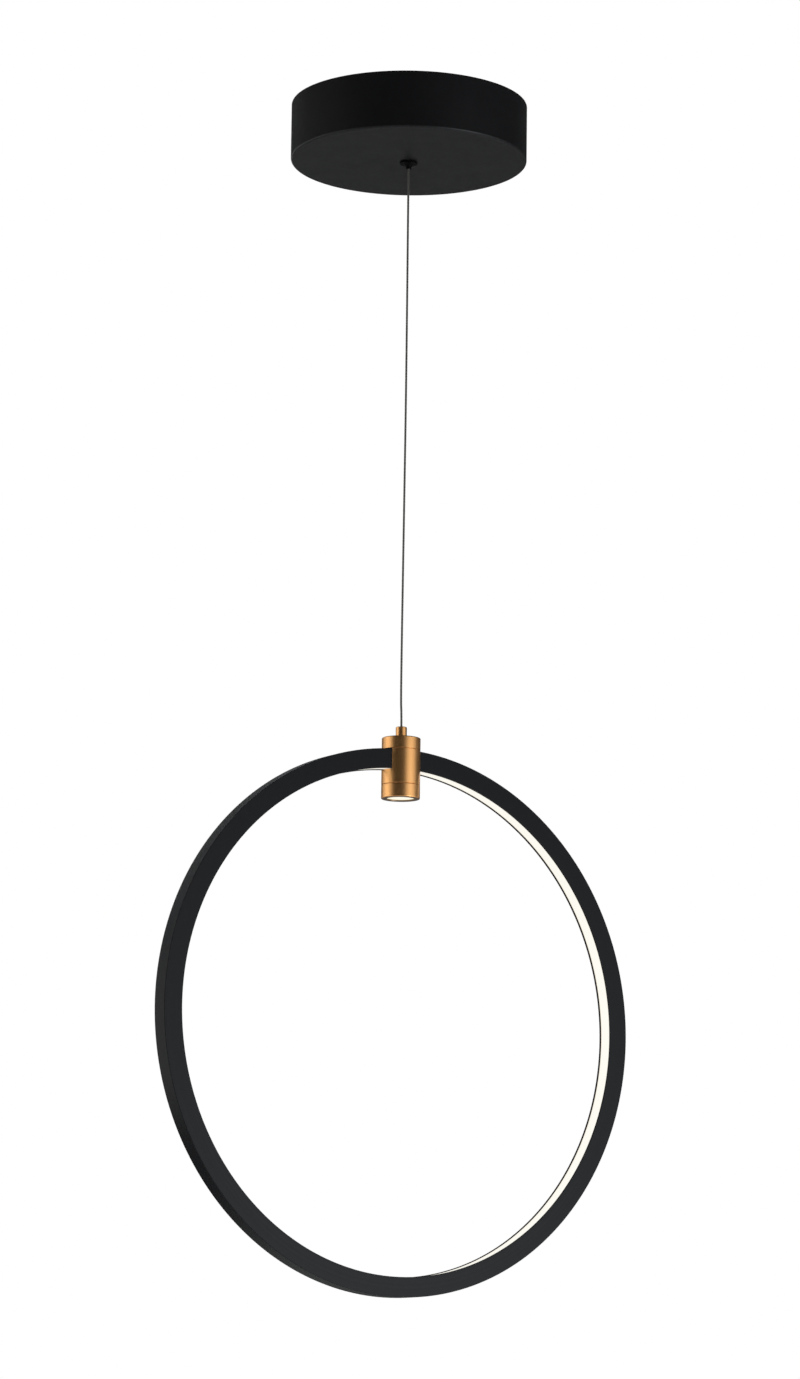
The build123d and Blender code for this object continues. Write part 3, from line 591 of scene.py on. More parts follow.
def make_finish(name, slot):
    """Makes the finish of one of the record's material slots, from its maker and the maker's values."""
    scene = bpy.context.scene
    canopy, cable, head = scene.pendant_canopy, scene.pendant_cable, scene.pendant_head
    ring, glow = scene.pendant_ring, scene.pendant_glow
    opal = (lit_plastic, glow.opal, glow.strength, (0.42, 0.55))
    makers = {
        "canopy_black": (paint, canopy.paint, canopy.worn_paint, (0.36, 0.44), 0.185),
        "ring_black": (paint, ring.paint, ring.worn_paint, (0.38, 0.46), 0.11, True),
        "black_screw": (paint, (0.010, 0.010, 0.010), (0.05, 0.05, 0.05), (0.35, 0.5), 0.4),
        "green_screw": (paint, (0.03, 0.22, 0.06), (0.10, 0.35, 0.14), (0.3, 0.45), 0.4),
        "head_gold": (satin_metal, head.metal, head.shade, head.edge, head.lip, (0.33, 0.39)),
        "brass": (turned_metal, (0.78, 0.57, 0.25), (0.66, 0.46, 0.18), (0.2, 0.35)),
        "plain_aluminium": (turned_metal, (0.78, 0.78, 0.78), (0.66, 0.66, 0.67), (0.25, 0.4)),
        "tinned_metal": (turned_metal, (0.70, 0.69, 0.66), (0.58, 0.57, 0.55), (0.25, 0.4), 2500.0),
        "zinc_plated_steel": (plated_steel, (0.62, 0.62, 0.60), (0.58, 0.60, 0.64), (0.26, 0.42)),
        "earth_insulation": (striped_insulation, (0.05, 0.28, 0.06), (0.72, 0.60, 0.05), (0.35, 0.5)),
        "foam_tape": (plastic, (0.75, 0.75, 0.73), (0.8, 0.95), 900.0, 0.08, 0.1, 0.8),
        "driver_plastic": (plastic, (0.78, 0.78, 0.76), (0.42, 0.58)),
        "circuit_board": (circuit_board, (0.05, 0.22, 0.09), (0.10, 0.36, 0.15), (0.35, 0.5)),
        "component_casing": (plastic, (0.06, 0.06, 0.06), (0.4, 0.55), 1600.0, 0.006, 0.45, 0.7),
        "terminal_nylon": (plastic, (0.82, 0.81, 0.76), (0.4, 0.55), 1200.0, 0.008),
        "supply_insulation": (plastic, (0.80, 0.79, 0.75), (0.36, 0.5), 1500.0, 0.004),
        "grip_nylon": (plastic, (0.0016, 0.0016, 0.0016), (0.5, 0.6), 1800.0, 0.006, 0.05, 0.7),
        "strip_film": (plastic, (0.86, 0.86, 0.83), (0.4, 0.5)),
        "led_package": (plastic, (0.88, 0.72, 0.22), (0.25, 0.4), 2000.0, 0.004),
        "reflector_white": (plastic, (0.90, 0.90, 0.89), (0.2, 0.3), 2000.0, 0.003),
        "cable_sheath": (stranded_cable, cable.metal, cable.shade, (0.34, 0.5)),
        "lit_diffuser": (*opal, glow.strip, glow.strip_edge, beside_lips),
        "lit_lens": (*opal, glow.lens, glow.lens_edge, from_axis),
    }
    maker, *values = makers[slot]
    return maker(name, *values)


def finish(slot):
    """The finish of one of the record's material slots, made once."""
    name = "finish_" + slot
    return bpy.data.materials.get(name) or make_finish(name, slot)


# Shaping


def empty_mesh():
    """A mesh that can mark its softened edges."""
    bm = bmesh.new()
    bm.loops.layers.float.new("edge")
    return bm


def draw_line(bm, points, closed=True):
    """New verts on points, and the edges that join them."""
    corners = [bm.verts.new(point) for point in points]
    following = corners[1:] + corners[:1] if closed else corners[1:]
    return corners, [bm.edges.new(pair) for pair in zip(corners, following)]


def turn(bm, outline, steps, matrix=Matrix.Identity(4)):
    """Adds a turned closed outline of (radius, height) points, then places it."""
    before = set(bm.verts)
    corners, edges = draw_line(bm, [(r, 0, z) for r, z in outline])
    bmesh.ops.spin(bm, geom=corners + edges, cent=ORIGIN, axis=(0, 0, 1), angle=2 * math.pi, steps=steps,
                   use_merge=True)
    bmesh.ops.remove_doubles(bm, verts=[v for v in bm.verts if v not in before], dist=SAME_POINT)
    fresh = [v for v in bm.verts if v not in before]
    bmesh.ops.transform(bm, matrix=matrix, verts=fresh)
    bmesh.ops.recalc_face_normals(bm, faces=bm.faces)


def hoop(outline, gap, gap_radius, steps):
    """A part of the ring from a closed outline of (y, radius) points, open by a gap at its top."""
    bm = empty_mesh()
    corners, edges = draw_line(bm, [(0, y, RING_CENTRE.z + r) for y, r in outline])
    half_open = math.asin(gap / 2 / gap_radius)
    bmesh.ops.rotate(bm, cent=RING_CENTRE, matrix=Matrix.Rotation(half_open, 3, "Y"), verts=corners)
    swept = bmesh.ops.spin(bm, geom=corners + edges, cent=RING_CENTRE, axis=(0, 1, 0),
                           angle=2 * math.pi - 2 * half_open, steps=steps)
    last = [e for e in swept["geom_last"] if isinstance(e, bmesh.types.BMEdge)]
    for rim in (edges, last):
        bmesh.ops.contextual_create(bm, geom=rim)
    bmesh.ops.recalc_face_normals(bm, faces=bm.faces)
    return bm


def rims(bm, radius, level, centre=ORIGIN, axis=2):
    """The edges of a circle of that radius about an axis, at that level along it."""

    def lies_there(vert):
        away = vert.co - centre
        along_axis = away[axis]
        away[axis] = 0
        return abs(along_axis - level) < ON_IT and abs(away.length - radius) < ON_IT

    return [e for e in bm.edges if all(lies_there(v) for v in e.verts)]


def ring_rims(bm, radius, level):
    """The edges of a circle about the ring's own axis."""
    return rims(bm, radius, level, RING_CENTRE, 1)


def sharp_edges(bm, over=30.0, longer_than=0.0):
    """The edges where the surface turns by more than an angle in degrees."""
    limit = math.radians(over)
    return [e for e in bm.edges
            if len(e.link_faces) == 2 and e.calc_face_angle() > limit and e.calc_length() > longer_than]


def soften(bm, edges, width, segments=2):
    """Rounds edges, and marks the new faces for the wear along edges, which on the head is painted shade
    instead.
    """
    if not edges:
        raise RuntimeError("there are no edges to soften")
    rounded = bmesh.ops.bevel(bm, geom=edges, offset=width, offset_type="OFFSET", segments=segments,
                              profile=0.5, affect="EDGES", clamp_overlap=True, material=-1)
    mark_faces(rounded["faces"], bm.loops.layers.float["edge"])


def mark_faces(faces, mark):
    """Sets a mark on every corner of some faces."""
    for face in faces:
        for loop in face.loops:
            loop[mark] = 1.0


def cad_copy(node):
    """A merged copy of a CAD node, with its flat faces joined."""
    bm = empty_mesh()
    bm.from_mesh(frame["nodes"][node].data)
    bmesh.ops.remove_doubles(bm, verts=bm.verts, dist=SAME_CAD_POINT)
    bmesh.ops.dissolve_limit(bm, angle_limit=math.radians(0.5), verts=bm.verts, edges=bm.edges)
    return bm


def as_object(bm, name):
    """An object in the scene from a bmesh, which is used up."""
    mesh = bpy.data.meshes.new(name)
    bm.to_mesh(mesh)
    bm.free()
    made = bpy.data.objects.new(name, mesh)
    bpy.context.scene.collection.objects.link(made)
    return made


def evaluated_mesh(carrier):
    """The mesh that an object's modifiers or its curve give."""
    bpy.context.view_layer.update()
    return bpy.data.meshes.new_from_object(carrier.evaluated_get(bpy.context.evaluated_depsgraph_get()))


def drill(cutters, radius, depth, matrix):
    """Adds a cylinder to a mesh of cutters."""
    bmesh.ops.create_cone(cutters, cap_ends=True, segments=40, radius1=radius, radius2=radius, depth=depth,
                          matrix=matrix)


def drilled(bm, cutters):
    """The mesh with a mesh of cutters taken away from it."""
    body, tool = as_object(bm, "drilled"), as_object(cutters, "cutters")
    cut = body.modifiers.new("holes", "BOOLEAN")
    cut.operation, cut.solver, cut.object = "DIFFERENCE", "EXACT", tool
    result = evaluated_mesh(body)
    made = bmesh.new()
    made.from_mesh(result)
    for old in (body, tool):
        bpy.data.objects.remove(old)
    bpy.data.meshes.remove(result)
    return made


def piece(bm, name, body, slot, *nodes, hard=True):
    """Makes a bmesh the finished piece that stands for CAD nodes on a body. A hard piece keeps its flats."""
    bmesh.ops.remove_doubles(bm, verts=bm.verts, dist=SAME_POINT)
    made = as_object(bm, name)
    mesh = made.data
    if "custom_normal" in mesh.attributes:
        mesh.attributes.remove(mesh.attributes["custom_normal"])
    mesh.materials.clear()
    mesh.materials.append(finish(slot))
    mesh.shade_smooth()
    mesh.set_sharp_from_angle(angle=math.radians(50.0))
    if hard:
        made.modifiers.new("flat_faces", "WEIGHTED_NORMAL").keep_sharp = True
    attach(made, body)
    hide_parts(*nodes)
    return made


def softened_copy(node, name, body, slot, width, segments=2, longer_than=0.0):
    """A piece with the shape of a CAD node and its edges softened."""
    bm = cad_copy(node)
    soften(bm, sharp_edges(bm, longer_than=longer_than), width, segments)
    return piece(bm, name, body, slot, node)


def route_line(points):
    """The points along the smooth line that a route's points steer."""
    curve = bpy.data.curves.new("route", "CURVE")
    curve.dimensions = "3D"
    spline = curve.splines.new("NURBS")
    spline.points.add(len(points) - 1)
    for point, place in zip(spline.points, points):
        point.co = (*place, 1.0)
    spline.order_u = 3
    spline.use_endpoint_u = True
    spline.resolution_u = 64
    carrier = bpy.data.objects.new("route", curve)
    bpy.context.scene.collection.objects.link(carrier)
    mesh = evaluated_mesh(carrier)
    line = [v.co.copy() for v in mesh.vertices]
    bpy.data.objects.remove(carrier)
    bpy.data.meshes.remove(mesh)
    return line


def along(bm, line, section, turn_per_metre=0.0):
    """Draws a closed section of verts, which lies on the first point, along a line, and closes both ends."""
    around = [e for e in bm.edges if all(v in section for v in e.verts)]
    first = list(around)
    heading = (line[1] - line[0]).normalized()
    for here, there in zip(line, line[1:]):
        step = there - here
        grown = bmesh.ops.extrude_edge_only(bm, edges=around)["geom"]
        verts = [g for g in grown if isinstance(g, bmesh.types.BMVert)]
        around = [g for g in grown if isinstance(g, bmesh.types.BMEdge) and all(v in verts for v in g.verts)]
        bend = heading.rotation_difference(step.normalized()).to_matrix()
        heading = step.normalized()
        twist = Matrix.Rotation(turn_per_metre * step.length, 3, heading)
        bmesh.ops.rotate(bm, cent=here, matrix=twist @ bend, verts=verts)
        bmesh.ops.translate(bm, vec=step, verts=verts)
    for end in (first, around):
        bmesh.ops.contextual_create(bm, geom=end)
    bmesh.ops.recalc_face_normals(bm, faces=bm.faces)


# Pieces


class PENDANT_OT_stage(bpy.types.Operator):
    """Makes the camera, the floor and the soft light"""

    bl_idname = "pendant.stage"
    bl_label = "Stage"

    def execute(self, context):
        scene, stage = context.scene, context.scene.pendant_stage
        scene.view_settings.view_transform = "Standard"
        camera = bpy.data.objects.new("camera", bpy.data.cameras.new("camera"))
        scene.collection.objects.link(camera)
        camera.data.lens = stage.lens
        camera.data.clip_end = 100.0
        facing = (Matrix.Rotation(-stage.yaw, 4, "Z")
                  @ Matrix.Rotation(math.pi / 2 + stage.pitch, 4, "X")
                  @ Matrix.Rotation(stage.roll, 4, "Z"))
        camera.matrix_world = Matrix.Translation(stage.camera_place) @ facing
        scene.camera = camera
        self.light_the_world(scene, stage)
        self.lay_floor(stage)
        towards_camera = math.atan2(stage.camera_place[1], stage.camera_place[0])
        self.stand_screens(stage, towards_camera)
        self.hang_softboxes(scene, stage, towards_camera)
        return {"FINISHED"}

    def light_the_world(self, scene, stage):
        """Soft light from all round, and white where the camera and reflections see past the object."""
        world = bpy.data.worlds.new("studio")
        scene.world = world
        world.use_nodes = True
        tree = world.node_tree
        tree.nodes.clear()
        soft = add(tree, "Background", {"Color": (0.97, 0.985, 1.0, 1.0), "Strength": stage.soft_light})
        white = add(tree, "Background", {"Color": (1.0, 1.0, 1.0, 1.0), "Strength": 1.0})
        path = add(tree, "LightPath")
        seen = add(tree, "Math", operation="MAXIMUM")
        shown = add(tree, "Math", operation="MAXIMUM")
        mixed = add(tree, "MixShader")
        end = add(tree, "OutputWorld")
        wire(
            tree,
            (path, "Is Camera Ray", seen, 0),
            (path, "Is Glossy Ray", seen, 1),
            (seen, "Value", shown, 0),
            (path, "Is Transmission Ray", shown, 1),
            (shown, "Value", mixed, "Fac"),
            (soft, "Background", mixed, 1),
            (white, "Background", mixed, 2),
            (mixed, "Shader", end, "Surface"),
        )

    def lay_floor(self, stage):
        """A pale round floor that fades out, and that is clear from below."""
        bm = bmesh.new()
        bmesh.ops.create_circle(bm, cap_ends=True, segments=96, radius=stage.floor_radius,
                                matrix=Matrix.Translation((0, 0, stage.floor_z)))
        floor = as_object(bm, "floor")
        made = Finish("pale_floor", {"Base Color": opaque(stage.floor_colour), "Roughness": 0.8})
        tree = made.tree
        fade = axis_fade(tree, 0.35 * stage.floor_radius, stage.floor_radius)
        side = add(tree, "NewGeometry")
        clear = add(tree, "Math", operation="MAXIMUM")
        through = add(tree, "BsdfTransparent")
        mixed = add(tree, "MixShader")
        wire(
            tree,
            (fade, "Result", clear, 0),
            (side, "Backfacing", clear, 1),
            (clear, "Value", mixed, "Fac"),
            (made.shader, "BSDF", mixed, 1),
            (through, "BSDF", mixed, 2),
            (mixed, "Shader", tree.nodes["Material Output"], "Surface"),
        )
        floor.data.materials.append(made.material)

    def stand_screens(self, stage, towards_camera):
        """Screens that only reflections show: two pale ones behind on the left, grey and dark ones elsewhere.

        A screen runs between two bearings about the cable, in degrees from the camera, positive to its right.
        """
        far, card, near = stage.screen_radius, stage.card_radius, 0.75 * stage.screen_radius
        low, split, middle, high, top = -2.2, -0.5, stage.screen_top, 1.15, 2.5
        cover = [(far, high), (far, top), (0, top)]
        for name, first, last, outline, grey in (
                ("front_screen", -52.0, 30.0, [(far, low), (far, middle)], 0.02),
                ("back_screen", 96.0, 232.0, [(far, split), (far, middle)], 0.08),
                ("low_back_screen", 96.0, 222.0, [(far, low), (far, split)], 0.21),
                ("rim_screen", -175.0, -106.0, [(card, -0.12), (card, 0.10)], 1.0),
                ("low_rim_screen", -124.0, -100.0, [(card, -0.42), (card, -0.12)], 1.0),
                ("low_left_screen", -155.0, -105.0, [(near, -2.3), (near, -1.3)], 0.06),
                ("upper_screen", -118.0, 242.0, [(far, middle), (far, high)], 0.08),
                ("top_screen", -118.0, 205.0, cover, 0.10),
                ("top_left_screen", 205.0, 242.0, cover, 0.45)):
            bm = bmesh.new()
            corners, edges = draw_line(bm, [(r, 0, z) for r, z in outline], closed=False)
            start = Matrix.Rotation(towards_camera + math.radians(first), 3, "Z")
            bmesh.ops.rotate(bm, cent=ORIGIN, matrix=start, verts=corners)
            bmesh.ops.spin(bm, geom=corners + edges, cent=ORIGIN, axis=(0, 0, 1),
                           angle=math.radians(last - first), steps=48)
            screen = as_object(bm, name)
            made = Finish(name, {"Base Color": (grey, grey, grey, 1.0), "Roughness": 0.9})
            screen.data.materials.append(made.material)
            screen.visible_camera = screen.visible_diffuse = screen.visible_shadow = False
            screen.visible_transmission = False

    def hang_softboxes(self, scene, stage, towards_camera):
        """Two wide softboxes, to the left of the head and in front of the ring to the right."""
        for name, bearing, level, width, height, share, tint in (
                ("left_softbox", -85.0, 0.0, 1.6, 0.42, 0.135, (1, 1, 1)),
                ("right_softbox", 60.0, -1.02, 1.1, 0.85, 1.0, (0.9, 0.95, 1.0))):
            lamp = bpy.data.lights.new(name, "AREA")
            lamp.shape = "RECTANGLE"
            lamp.size, lamp.size_y = width, height
            lamp.energy = share * stage.box_strength
            lamp.color = tint
            holder = bpy.data.objects.new(name, lamp)
            scene.collection.objects.link(holder)
            heading = towards_camera + math.radians(bearing)
            distance = stage.box_distance
            holder.location = (distance * math.cos(heading), distance * math.sin(heading), level)
            holder.rotation_euler = (RING_CENTRE - holder.location).to_track_quat("-Z", "Y").to_euler()
            holder.visible_camera = False


class PENDANT_OT_cable(bpy.types.Operator):
    """Makes the suspension cable from its twisted strands"""

    bl_idname = "pendant.cable"
    bl_label = "Suspension cable"

    def execute(self, context):
        cable = context.scene.pendant_cable
        near_edge = 6 * cable.diameter
        line = route_line([
            (0, 0, NOSE_Z),
            (0, 0, NOSE_Z - near_edge),
            (0.00025, -0.00016, -0.190),
            (-0.00012, 0.00008, -0.290),
            (-0.00050, 0.00032, -0.398),
            (0, 0, COLLAR_TOP + near_edge),
            (0, 0, STOP_TOP),
        ])
        bm = bmesh.new()
        # The groove mark tells the finish where to paint shade between the strands.
        depth = bm.verts.layers.float.new("groove")
        sides, radius = STRAND_SIDES * cable.strands, cable.diameter / 2
        section = bmesh.ops.create_circle(bm, segments=sides, radius=radius,
                                          matrix=Matrix.Translation(line[0]))["verts"]
        grooves = section[::STRAND_SIDES]
        for vert in grooves:
            vert[depth] = 1.0
        bmesh.ops.scale(bm, vec=(cable.groove, cable.groove, 1), verts=grooves)
        along(bm, line, section, turn_per_metre=2 * math.pi / cable.lay)
        made = piece(bm, "suspension_cable_strands", "cable", "cable_sheath",
                     "suspension_cable", "cable_bend", hard=False)
        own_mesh(made)
        return {"FINISHED"}


class PENDANT_OT_leads(bpy.types.Operator):
    """Lays the leads inside the canopy"""

    bl_idname = "pendant.leads"
    bl_label = "Leads"

    def execute(self, context):
        scene = context.scene
        thick, thin = scene.pendant_cable.lead_diameter, scene.pendant_cable.diameter
        for number, x in enumerate((-34.0, -24.0), 1):
            self.lay(scene, f"supply_lead_{number}", "supply_insulation", "supply_leads", thick,
                     [(x, -19.0, -27.8), (x, -7.0, -27.8), (x, 5.0, -23.8), (x, 18.6, -23.8)])
        self.lay(scene, "earth_wire", "earth_insulation", "earth_lead", thick,
                 [(19.0, 0, -3.55), (8.0, 0, -3.55), (-3.0, -0.5, -10.1), (-12.0, -2.0, -19.8),
                  (-14.0, -9.0, -27.8), (-14.0, -19.0, -27.8)])
        self.lay(scene, "cable_inner_end", "cable_sheath", "cable_tail", thin,
                 [(0, 0, -42.6), (0, 0, -34.8), (0, 0, -18.8), (0, 16.0, -18.8), (0, 18.6, -18.8)])
        return {"FINISHED"}

    def lay(self, scene, name, slot, node, diameter, route):
        """A smooth lead along a route given in the bracket's direction, in millimetres."""
        turned = Matrix.Rotation(scene.pendant_canopy.turn, 4, "Z")
        line = route_line([turned @ (Vector(p) * MM) for p in route])
        bm = bmesh.new()
        stripe = bm.verts.layers.float.new("stripe")
        facing = Vector((0, 0, 1)).rotation_difference(line[1] - line[0]).to_matrix().to_4x4()
        section = bmesh.ops.create_circle(bm, segments=LEAD_SIDES, radius=diameter / 2,
                                          matrix=Matrix.Translation(line[0]) @ facing)["verts"]
        for vert in section[:STRIPE_SIDES]:
            vert[stripe] = 1.0
        along(bm, line, section)
        made = piece(bm, name, "canopy", slot, node, hard=False)


class PENDANT_OT_canopy(bpy.types.Operator):
    """Turns the canopy's cup and sinks its screw holes"""

    bl_idname = "pendant.canopy"
    bl_label = "Canopy"

    def execute(self, context):
        canopy = context.scene.pendant_canopy
        radius, bottom, hole = CANOPY_RADIUS, CANOPY_BOTTOM, canopy.grip_hole
        inner, floor_top = radius - canopy.wall, bottom + canopy.wall
        bm = empty_mesh()
        turn(bm, [(hole, bottom), (radius, bottom), (radius, 0), (inner, 0), (inner, floor_top),
                  (hole, floor_top)], canopy.segments)
        soften(bm, rims(bm, radius, bottom), canopy.edge_radius, 6)
        soften(bm, rims(bm, inner, floor_top), canopy.inner_edge_radius, 3)
        soften(bm, rims(bm, radius, 0) + rims(bm, inner, 0), canopy.rim_radius, 2)
        piece(drilled(bm, self.screw_holes(canopy)), "canopy_cup", "canopy", "canopy_black", "canopy_cover")
        softened_copy("canopy_screws", "canopy_screw_heads", "canopy", "black_screw", SCREW_EDGE)
        return {"FINISHED"}

    def screw_holes(self, canopy):
        """Cutters for the two countersunk holes in the wall, on the bracket's line."""
        shank, head = CANOPY_SCREW_HOLE, CANOPY_SCREW_SINK
        face = math.sqrt(CANOPY_RADIUS**2 - head**2)
        neck = face - (head - shank)
        outline = [(0, neck - head), (shank, neck - head), (shank, neck), (head, face), (head, face + head),
                   (0, face + head)]
        cutters = bmesh.new()
        for side in (0, math.pi):
            place = (Matrix.Rotation(canopy.turn + side, 4, "Z")
                     @ Matrix.Translation((0, 0, -canopy.screw_drop)) @ Matrix.Rotation(math.pi / 2, 4, "Y"))
            turn(cutters, outline, 48, place)
        return cutters


class PENDANT_OT_bracket(bpy.types.Operator):
    """Bends and drills the mounting bracket, with its earth screw and lug"""

    bl_idname = "pendant.bracket"
    bl_label = "Mounting bracket"

    def execute(self, context):
        canopy = context.scene.pendant_canopy
        bm = drilled(self.bent_strip(canopy), self.holes(canopy))
        bmesh.ops.rotate(bm, cent=ORIGIN, matrix=Matrix.Rotation(canopy.turn, 3, "Z"), verts=bm.verts)
        piece(bm, "bent_bracket", "canopy", "zinc_plated_steel", "mounting_bracket", "bracket_ears")
        softened_copy("earth_screw", "earth_screw_head", "canopy", "green_screw", TURNED_EDGE)
        softened_copy("earth_lug", "earth_ring_lug", "canopy", "tinned_metal", SCREW_EDGE)
        return {"FINISHED"}

    def bent_strip(self, canopy):
        """The strip with its two ears bent down."""
        reach, sheet = canopy.bracket_reach, canopy.bracket_thickness
        half, foot = canopy.bracket_width / 2, -canopy.ear_height
        inside = reach - sheet
        outline = [(-reach, foot), (-reach, 0), (reach, 0), (reach, foot), (inside, foot), (inside, -sheet),
                   (-inside, -sheet), (-inside, foot)]
        bm = empty_mesh()
        side = bm.faces.new([bm.verts.new((x, -half, z)) for x, z in outline])
        grown = bmesh.ops.extrude_face_region(bm, geom=[side])["geom"]
        moved = [g for g in grown if isinstance(g, bmesh.types.BMVert)]
        bmesh.ops.translate(bm, vec=(0, 2 * half, 0), verts=moved)
        bmesh.ops.recalc_face_normals(bm, faces=bm.faces)

        def across():
            return [e for e in bm.edges if abs(e.verts[0].co.y - e.verts[1].co.y) > half]

        soften(bm, [e for e in across() if e.verts[0].co.z == 0], canopy.bend_radius, 5)
        inner = [e for e in across()
                 if abs(e.verts[0].co.z + sheet) < ON_IT and abs(abs(e.verts[0].co.x) - inside) < ON_IT]
        soften(bm, inner, canopy.inner_bend_radius, 3)
        feet = [e for e in bm.edges
                if all(abs(v.co.z - foot) < ON_IT for v in e.verts)
                and abs(e.verts[0].co.x - e.verts[1].co.x) > sheet / 2]
        soften(bm, feet, canopy.ear_corner, 6)
        soften(bm, sharp_edges(bm, 50.0, 0.5 * MM), canopy.bracket_edge, 2)
        return bm

    def holes(self, canopy):
        """Cutters for the holes in the plate, and one through both ears for the canopy screws."""
        cutters = bmesh.new()
        for x, radius in BRACKET_HOLES:
            drill(cutters, radius * MM, 4 * canopy.bracket_thickness, Matrix.Translation((x * MM, 0, 0)))
        lying = Matrix.Translation((0, 0, -canopy.screw_drop)) @ Matrix.Rotation(math.pi / 2, 4, "Y")
        drill(cutters, CANOPY_SCREW_HOLE, 3 * canopy.bracket_reach, lying)
        return cutters


class PENDANT_OT_driver(bpy.types.Operator):
    """Makes the driver's case and lid"""

    bl_idname = "pendant.driver"
    bl_label = "Driver"

    def execute(self, context):
        for node, name in (("driver_case", "driver_tray"), ("driver_lid", "driver_cover")):
            softened_copy(node, name, "canopy", "driver_plastic", MOULDED_EDGE, 3, MOULDED_RUN)
        return {"FINISHED"}


class PENDANT_OT_terminal(bpy.types.Operator):
    """Makes the terminal block with its sleeves and screws"""

    bl_idname = "pendant.terminal"
    bl_label = "Terminal block"

    def execute(self, context):
        softened_copy("terminal_block", "terminal_body", "canopy", "terminal_nylon", MOULDED_EDGE, 3,
                      MOULDED_RUN)
        softened_copy("terminal_sleeves", "terminal_tubes", "canopy", "brass", SLEEVE_EDGE)
        softened_copy("terminal_screws", "terminal_screw_heads", "canopy", "zinc_plated_steel", SCREW_EDGE)
        return {"FINISHED"}


class PENDANT_OT_grip(bpy.types.Operator):
    """Makes the cord grip with its nut, washer and clamping screw"""

    bl_idname = "pendant.grip"
    bl_label = "Cord grip"

    def execute(self, context):
        softened_copy("cord_grip", "cord_grip_body", "canopy", "grip_nylon", TURNED_EDGE)
        softened_copy("grip_nut", "cord_grip_nut", "canopy", "grip_nylon", NUT_EDGE, longer_than=NUT_RUN)
        softened_copy("grip_washer", "cord_grip_washer", "canopy", "zinc_plated_steel", TURNED_EDGE)
        softened_copy("grip_screw", "cord_grip_screw", "canopy", "black_screw", SCREW_EDGE)
        return {"FINISHED"}


class PENDANT_OT_head(bpy.types.Operator):
    """Makes the collar and the three sections of the turned head"""

    bl_idname = "pendant.head"
    bl_label = "Head"

    def execute(self, context):
        head = context.scene.pendant_head
        width = head.softness
        for node, name in (("cable_collar", "head_collar"), ("head_cap", "head_upper_section"),
                           ("head_body", "head_slotted_section")):
            softened_copy(node, name, "pendant", "head_gold", width)
        bm = cad_copy("head_bezel")
        soften(bm, sharp_edges(bm), width)
        low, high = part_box("head_bezel")
        mark = bm.loops.layers.float.new("lip")
        middles = [(face, face.calc_center_median()) for face in bm.faces]
        mark_faces([face for face, middle in middles
                    if middle.z < low.z + head.lip_height and middle.xy.length < high.x - 2 * width], mark)
        piece(bm, "head_lower_section", "pendant", "head_gold", "head_bezel")
        return {"FINISHED"}


class PENDANT_OT_downlight(bpy.types.Operator):
    """Turns the lens of the downlight"""

    bl_idname = "pendant.downlight"
    bl_label = "Downlight lens"

    def execute(self, context):
        radius, low, high = LENS_HIGH.x, LENS_LOW.z, LENS_HIGH.z
        bm = empty_mesh()
        turn(bm, [(0, low), (0.5 * radius, low), (radius, low), (radius, high), (0, high)], 96)
        soften(bm, rims(bm, radius, low), context.scene.pendant_head.lens_edge_radius, 3)
        piece(bm, "opal_lens", "pendant", "lit_lens", "downlight_lens")
        return {"FINISHED"}


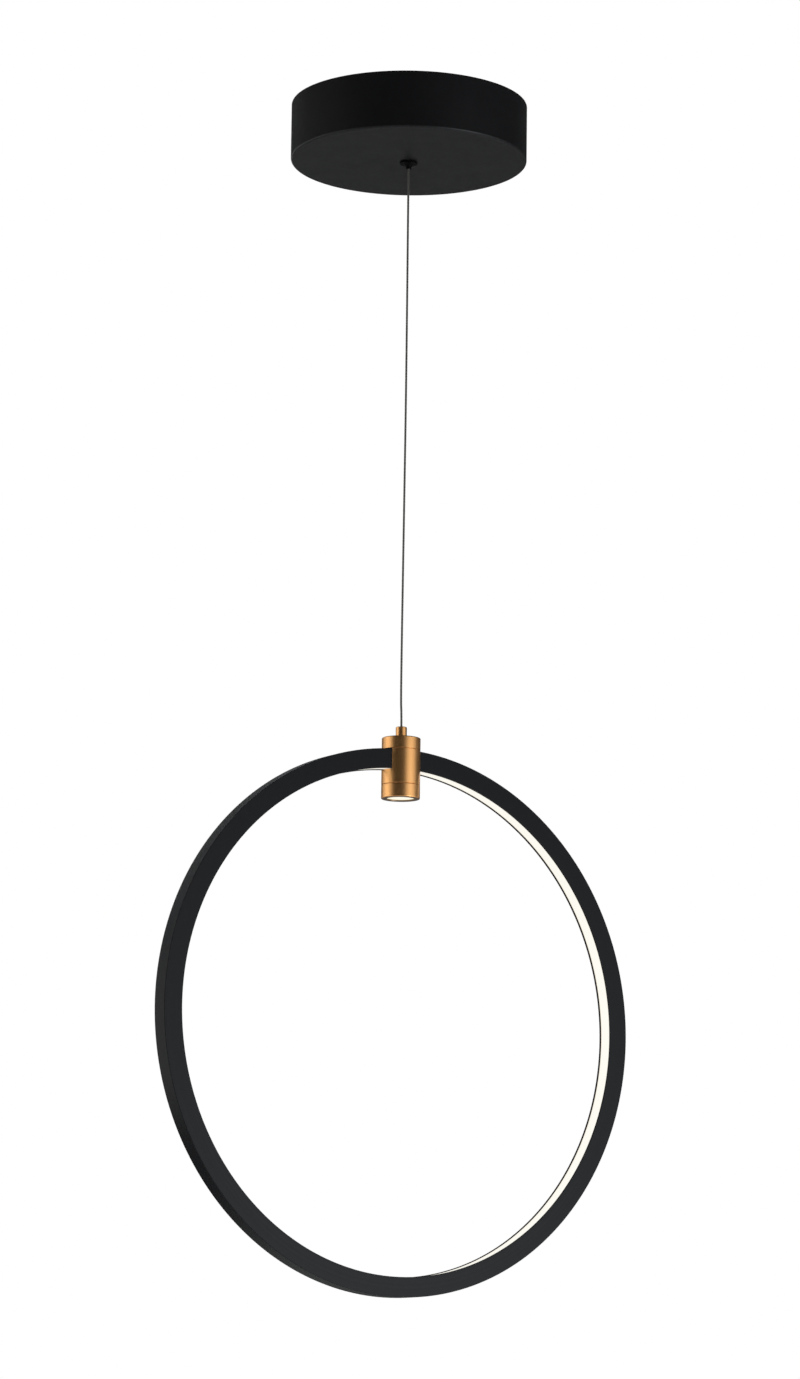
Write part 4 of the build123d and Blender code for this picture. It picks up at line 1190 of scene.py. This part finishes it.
class PENDANT_OT_ring(bpy.types.Operator):
    """Bends the ring's channel and its diffuser"""

    bl_idname = "pendant.ring"
    bl_label = "Light ring"

    def execute(self, context):
        ring = context.scene.pendant_ring
        mouth, bore = RING_RADIUS - ring.depth, ring.width / 2 - ring.side_wall
        cover = mouth + ring.diffuser_inset
        outer = cover + ring.diffuser
        self.bend_channel(ring, mouth, bore, outer + DIFFUSER_PLAY)
        self.bend_diffuser(ring, bore - DIFFUSER_PLAY, cover, outer)
        return {"FINISHED"}

    def bend_channel(self, ring, mouth, bore, shelf):
        """The channel, with a ledge behind the diffuser on each side and two screw holes inside the head."""
        half, back = ring.width / 2, RING_RADIUS - ring.back_wall
        ledge, ledge_top = bore - ring.ledge_reach, shelf + ring.ledge_height
        side = [(half, RING_RADIUS), (half, mouth), (bore, mouth), (bore, shelf), (ledge, shelf),
                (ledge, ledge_top), (bore, ledge_top), (bore, back)]
        bm = hoop(side + [(-y, r) for y, r in reversed(side)], ring.joint_gap, RING_RADIUS, ring.segments)
        for radius, width, segments in ((RING_RADIUS, ring.corner_radius, 4), (mouth, ring.lip_radius, 3)):
            for level in (-half, half):
                soften(bm, ring_rims(bm, radius, level), width, segments)
        soften(bm, ring_rims(bm, mouth, -bore) + ring_rims(bm, mouth, bore), ring.inner_lip_radius, 2)
        piece(drilled(bm, self.screw_holes()), "ring_profile", "pendant", "ring_black", "ring_channel")

    def screw_holes(self):
        """Cutters for the countersunk holes of the joiner's two screws."""
        hole, sink, above = JOINER_HOLE, JOINER_SINK, 1 * MM
        outline = [(0, -JOINER_HOLE_DEPTH), (hole, -JOINER_HOLE_DEPTH), (hole, -JOINER_SINK_DEPTH), (sink, 0),
                   (sink, above), (0, above)]
        top = RING_CENTRE.z + math.sqrt(RING_RADIUS**2 - JOINER_SCREW_REACH**2)
        cutters = bmesh.new()
        for end in (-1, 1):
            turn(cutters, outline, 32, Matrix.Translation((end * JOINER_SCREW.x, end * JOINER_SCREW.y, top)))
        return cutters

    def bend_diffuser(self, ring, half, cover, outer):
        """The lit strip that closes the channel's mouth."""
        bm = hoop([(-half, cover), (half, cover), (half, outer), (-half, outer)], ring.diffuser_gap, cover,
                  ring.segments)
        for level in (-half, half):
            soften(bm, ring_rims(bm, cover, level), ring.diffuser_edge, 2)
        piece(bm, "ring_light_cover", "pendant", "lit_diffuser", "ring_diffuser")


class PENDANT_OT_inside(bpy.types.Operator):
    """Finishes the pieces that keep their CAD shape"""

    bl_idname = "pendant.inside"
    bl_label = "Inner pieces"

    def execute(self, context):
        slots = {part["node"]: part["material_slot"] for part in frame["record"]["subparts"]}
        for name, node in frame["nodes"].items():
            node.data.materials.clear()
            node.data.materials.append(finish(slots[name]))
        return {"FINISHED"}


class PENDANT_PT_pieces(bpy.types.Panel):
    """Lists the pieces of the pendant light"""

    bl_idname = "PENDANT_PT_pieces"
    bl_label = "Ring Pendant Light"
    bl_space_type = "VIEW_3D"
    bl_region_type = "UI"
    bl_category = "Pendant"

    def draw(self, context):
        for operator in operators:
            self.layout.operator(operator.bl_idname)


setting_groups = {
    "pendant_canopy": PendantCanopySettings,
    "pendant_cable": PendantCableSettings,
    "pendant_head": PendantHeadSettings,
    "pendant_ring": PendantRingSettings,
    "pendant_glow": PendantGlowSettings,
    "pendant_stage": PendantStageSettings,
}
operators = (
    PENDANT_OT_stage,
    PENDANT_OT_cable,
    PENDANT_OT_leads,
    PENDANT_OT_canopy,
    PENDANT_OT_bracket,
    PENDANT_OT_driver,
    PENDANT_OT_terminal,
    PENDANT_OT_grip,
    PENDANT_OT_head,
    PENDANT_OT_downlight,
    PENDANT_OT_ring,
    PENDANT_OT_inside,
)


def register():
    for group in (*setting_groups.values(), *operators, PENDANT_PT_pieces):
        bpy.utils.register_class(group)
    for name, group in setting_groups.items():
        setattr(bpy.types.Scene, name, PointerProperty(type=group))


def unregister():
    for name in setting_groups:
        delattr(bpy.types.Scene, name)
    for group in (PENDANT_PT_pieces, *reversed(operators), *reversed(setting_groups.values())):
        bpy.utils.unregister_class(group)


def main():
    register()
    for operator in operators:
        group, name = operator.bl_idname.split(".")
        getattr(getattr(bpy.ops, group), name)()


if __name__ == "__main__":
    main()
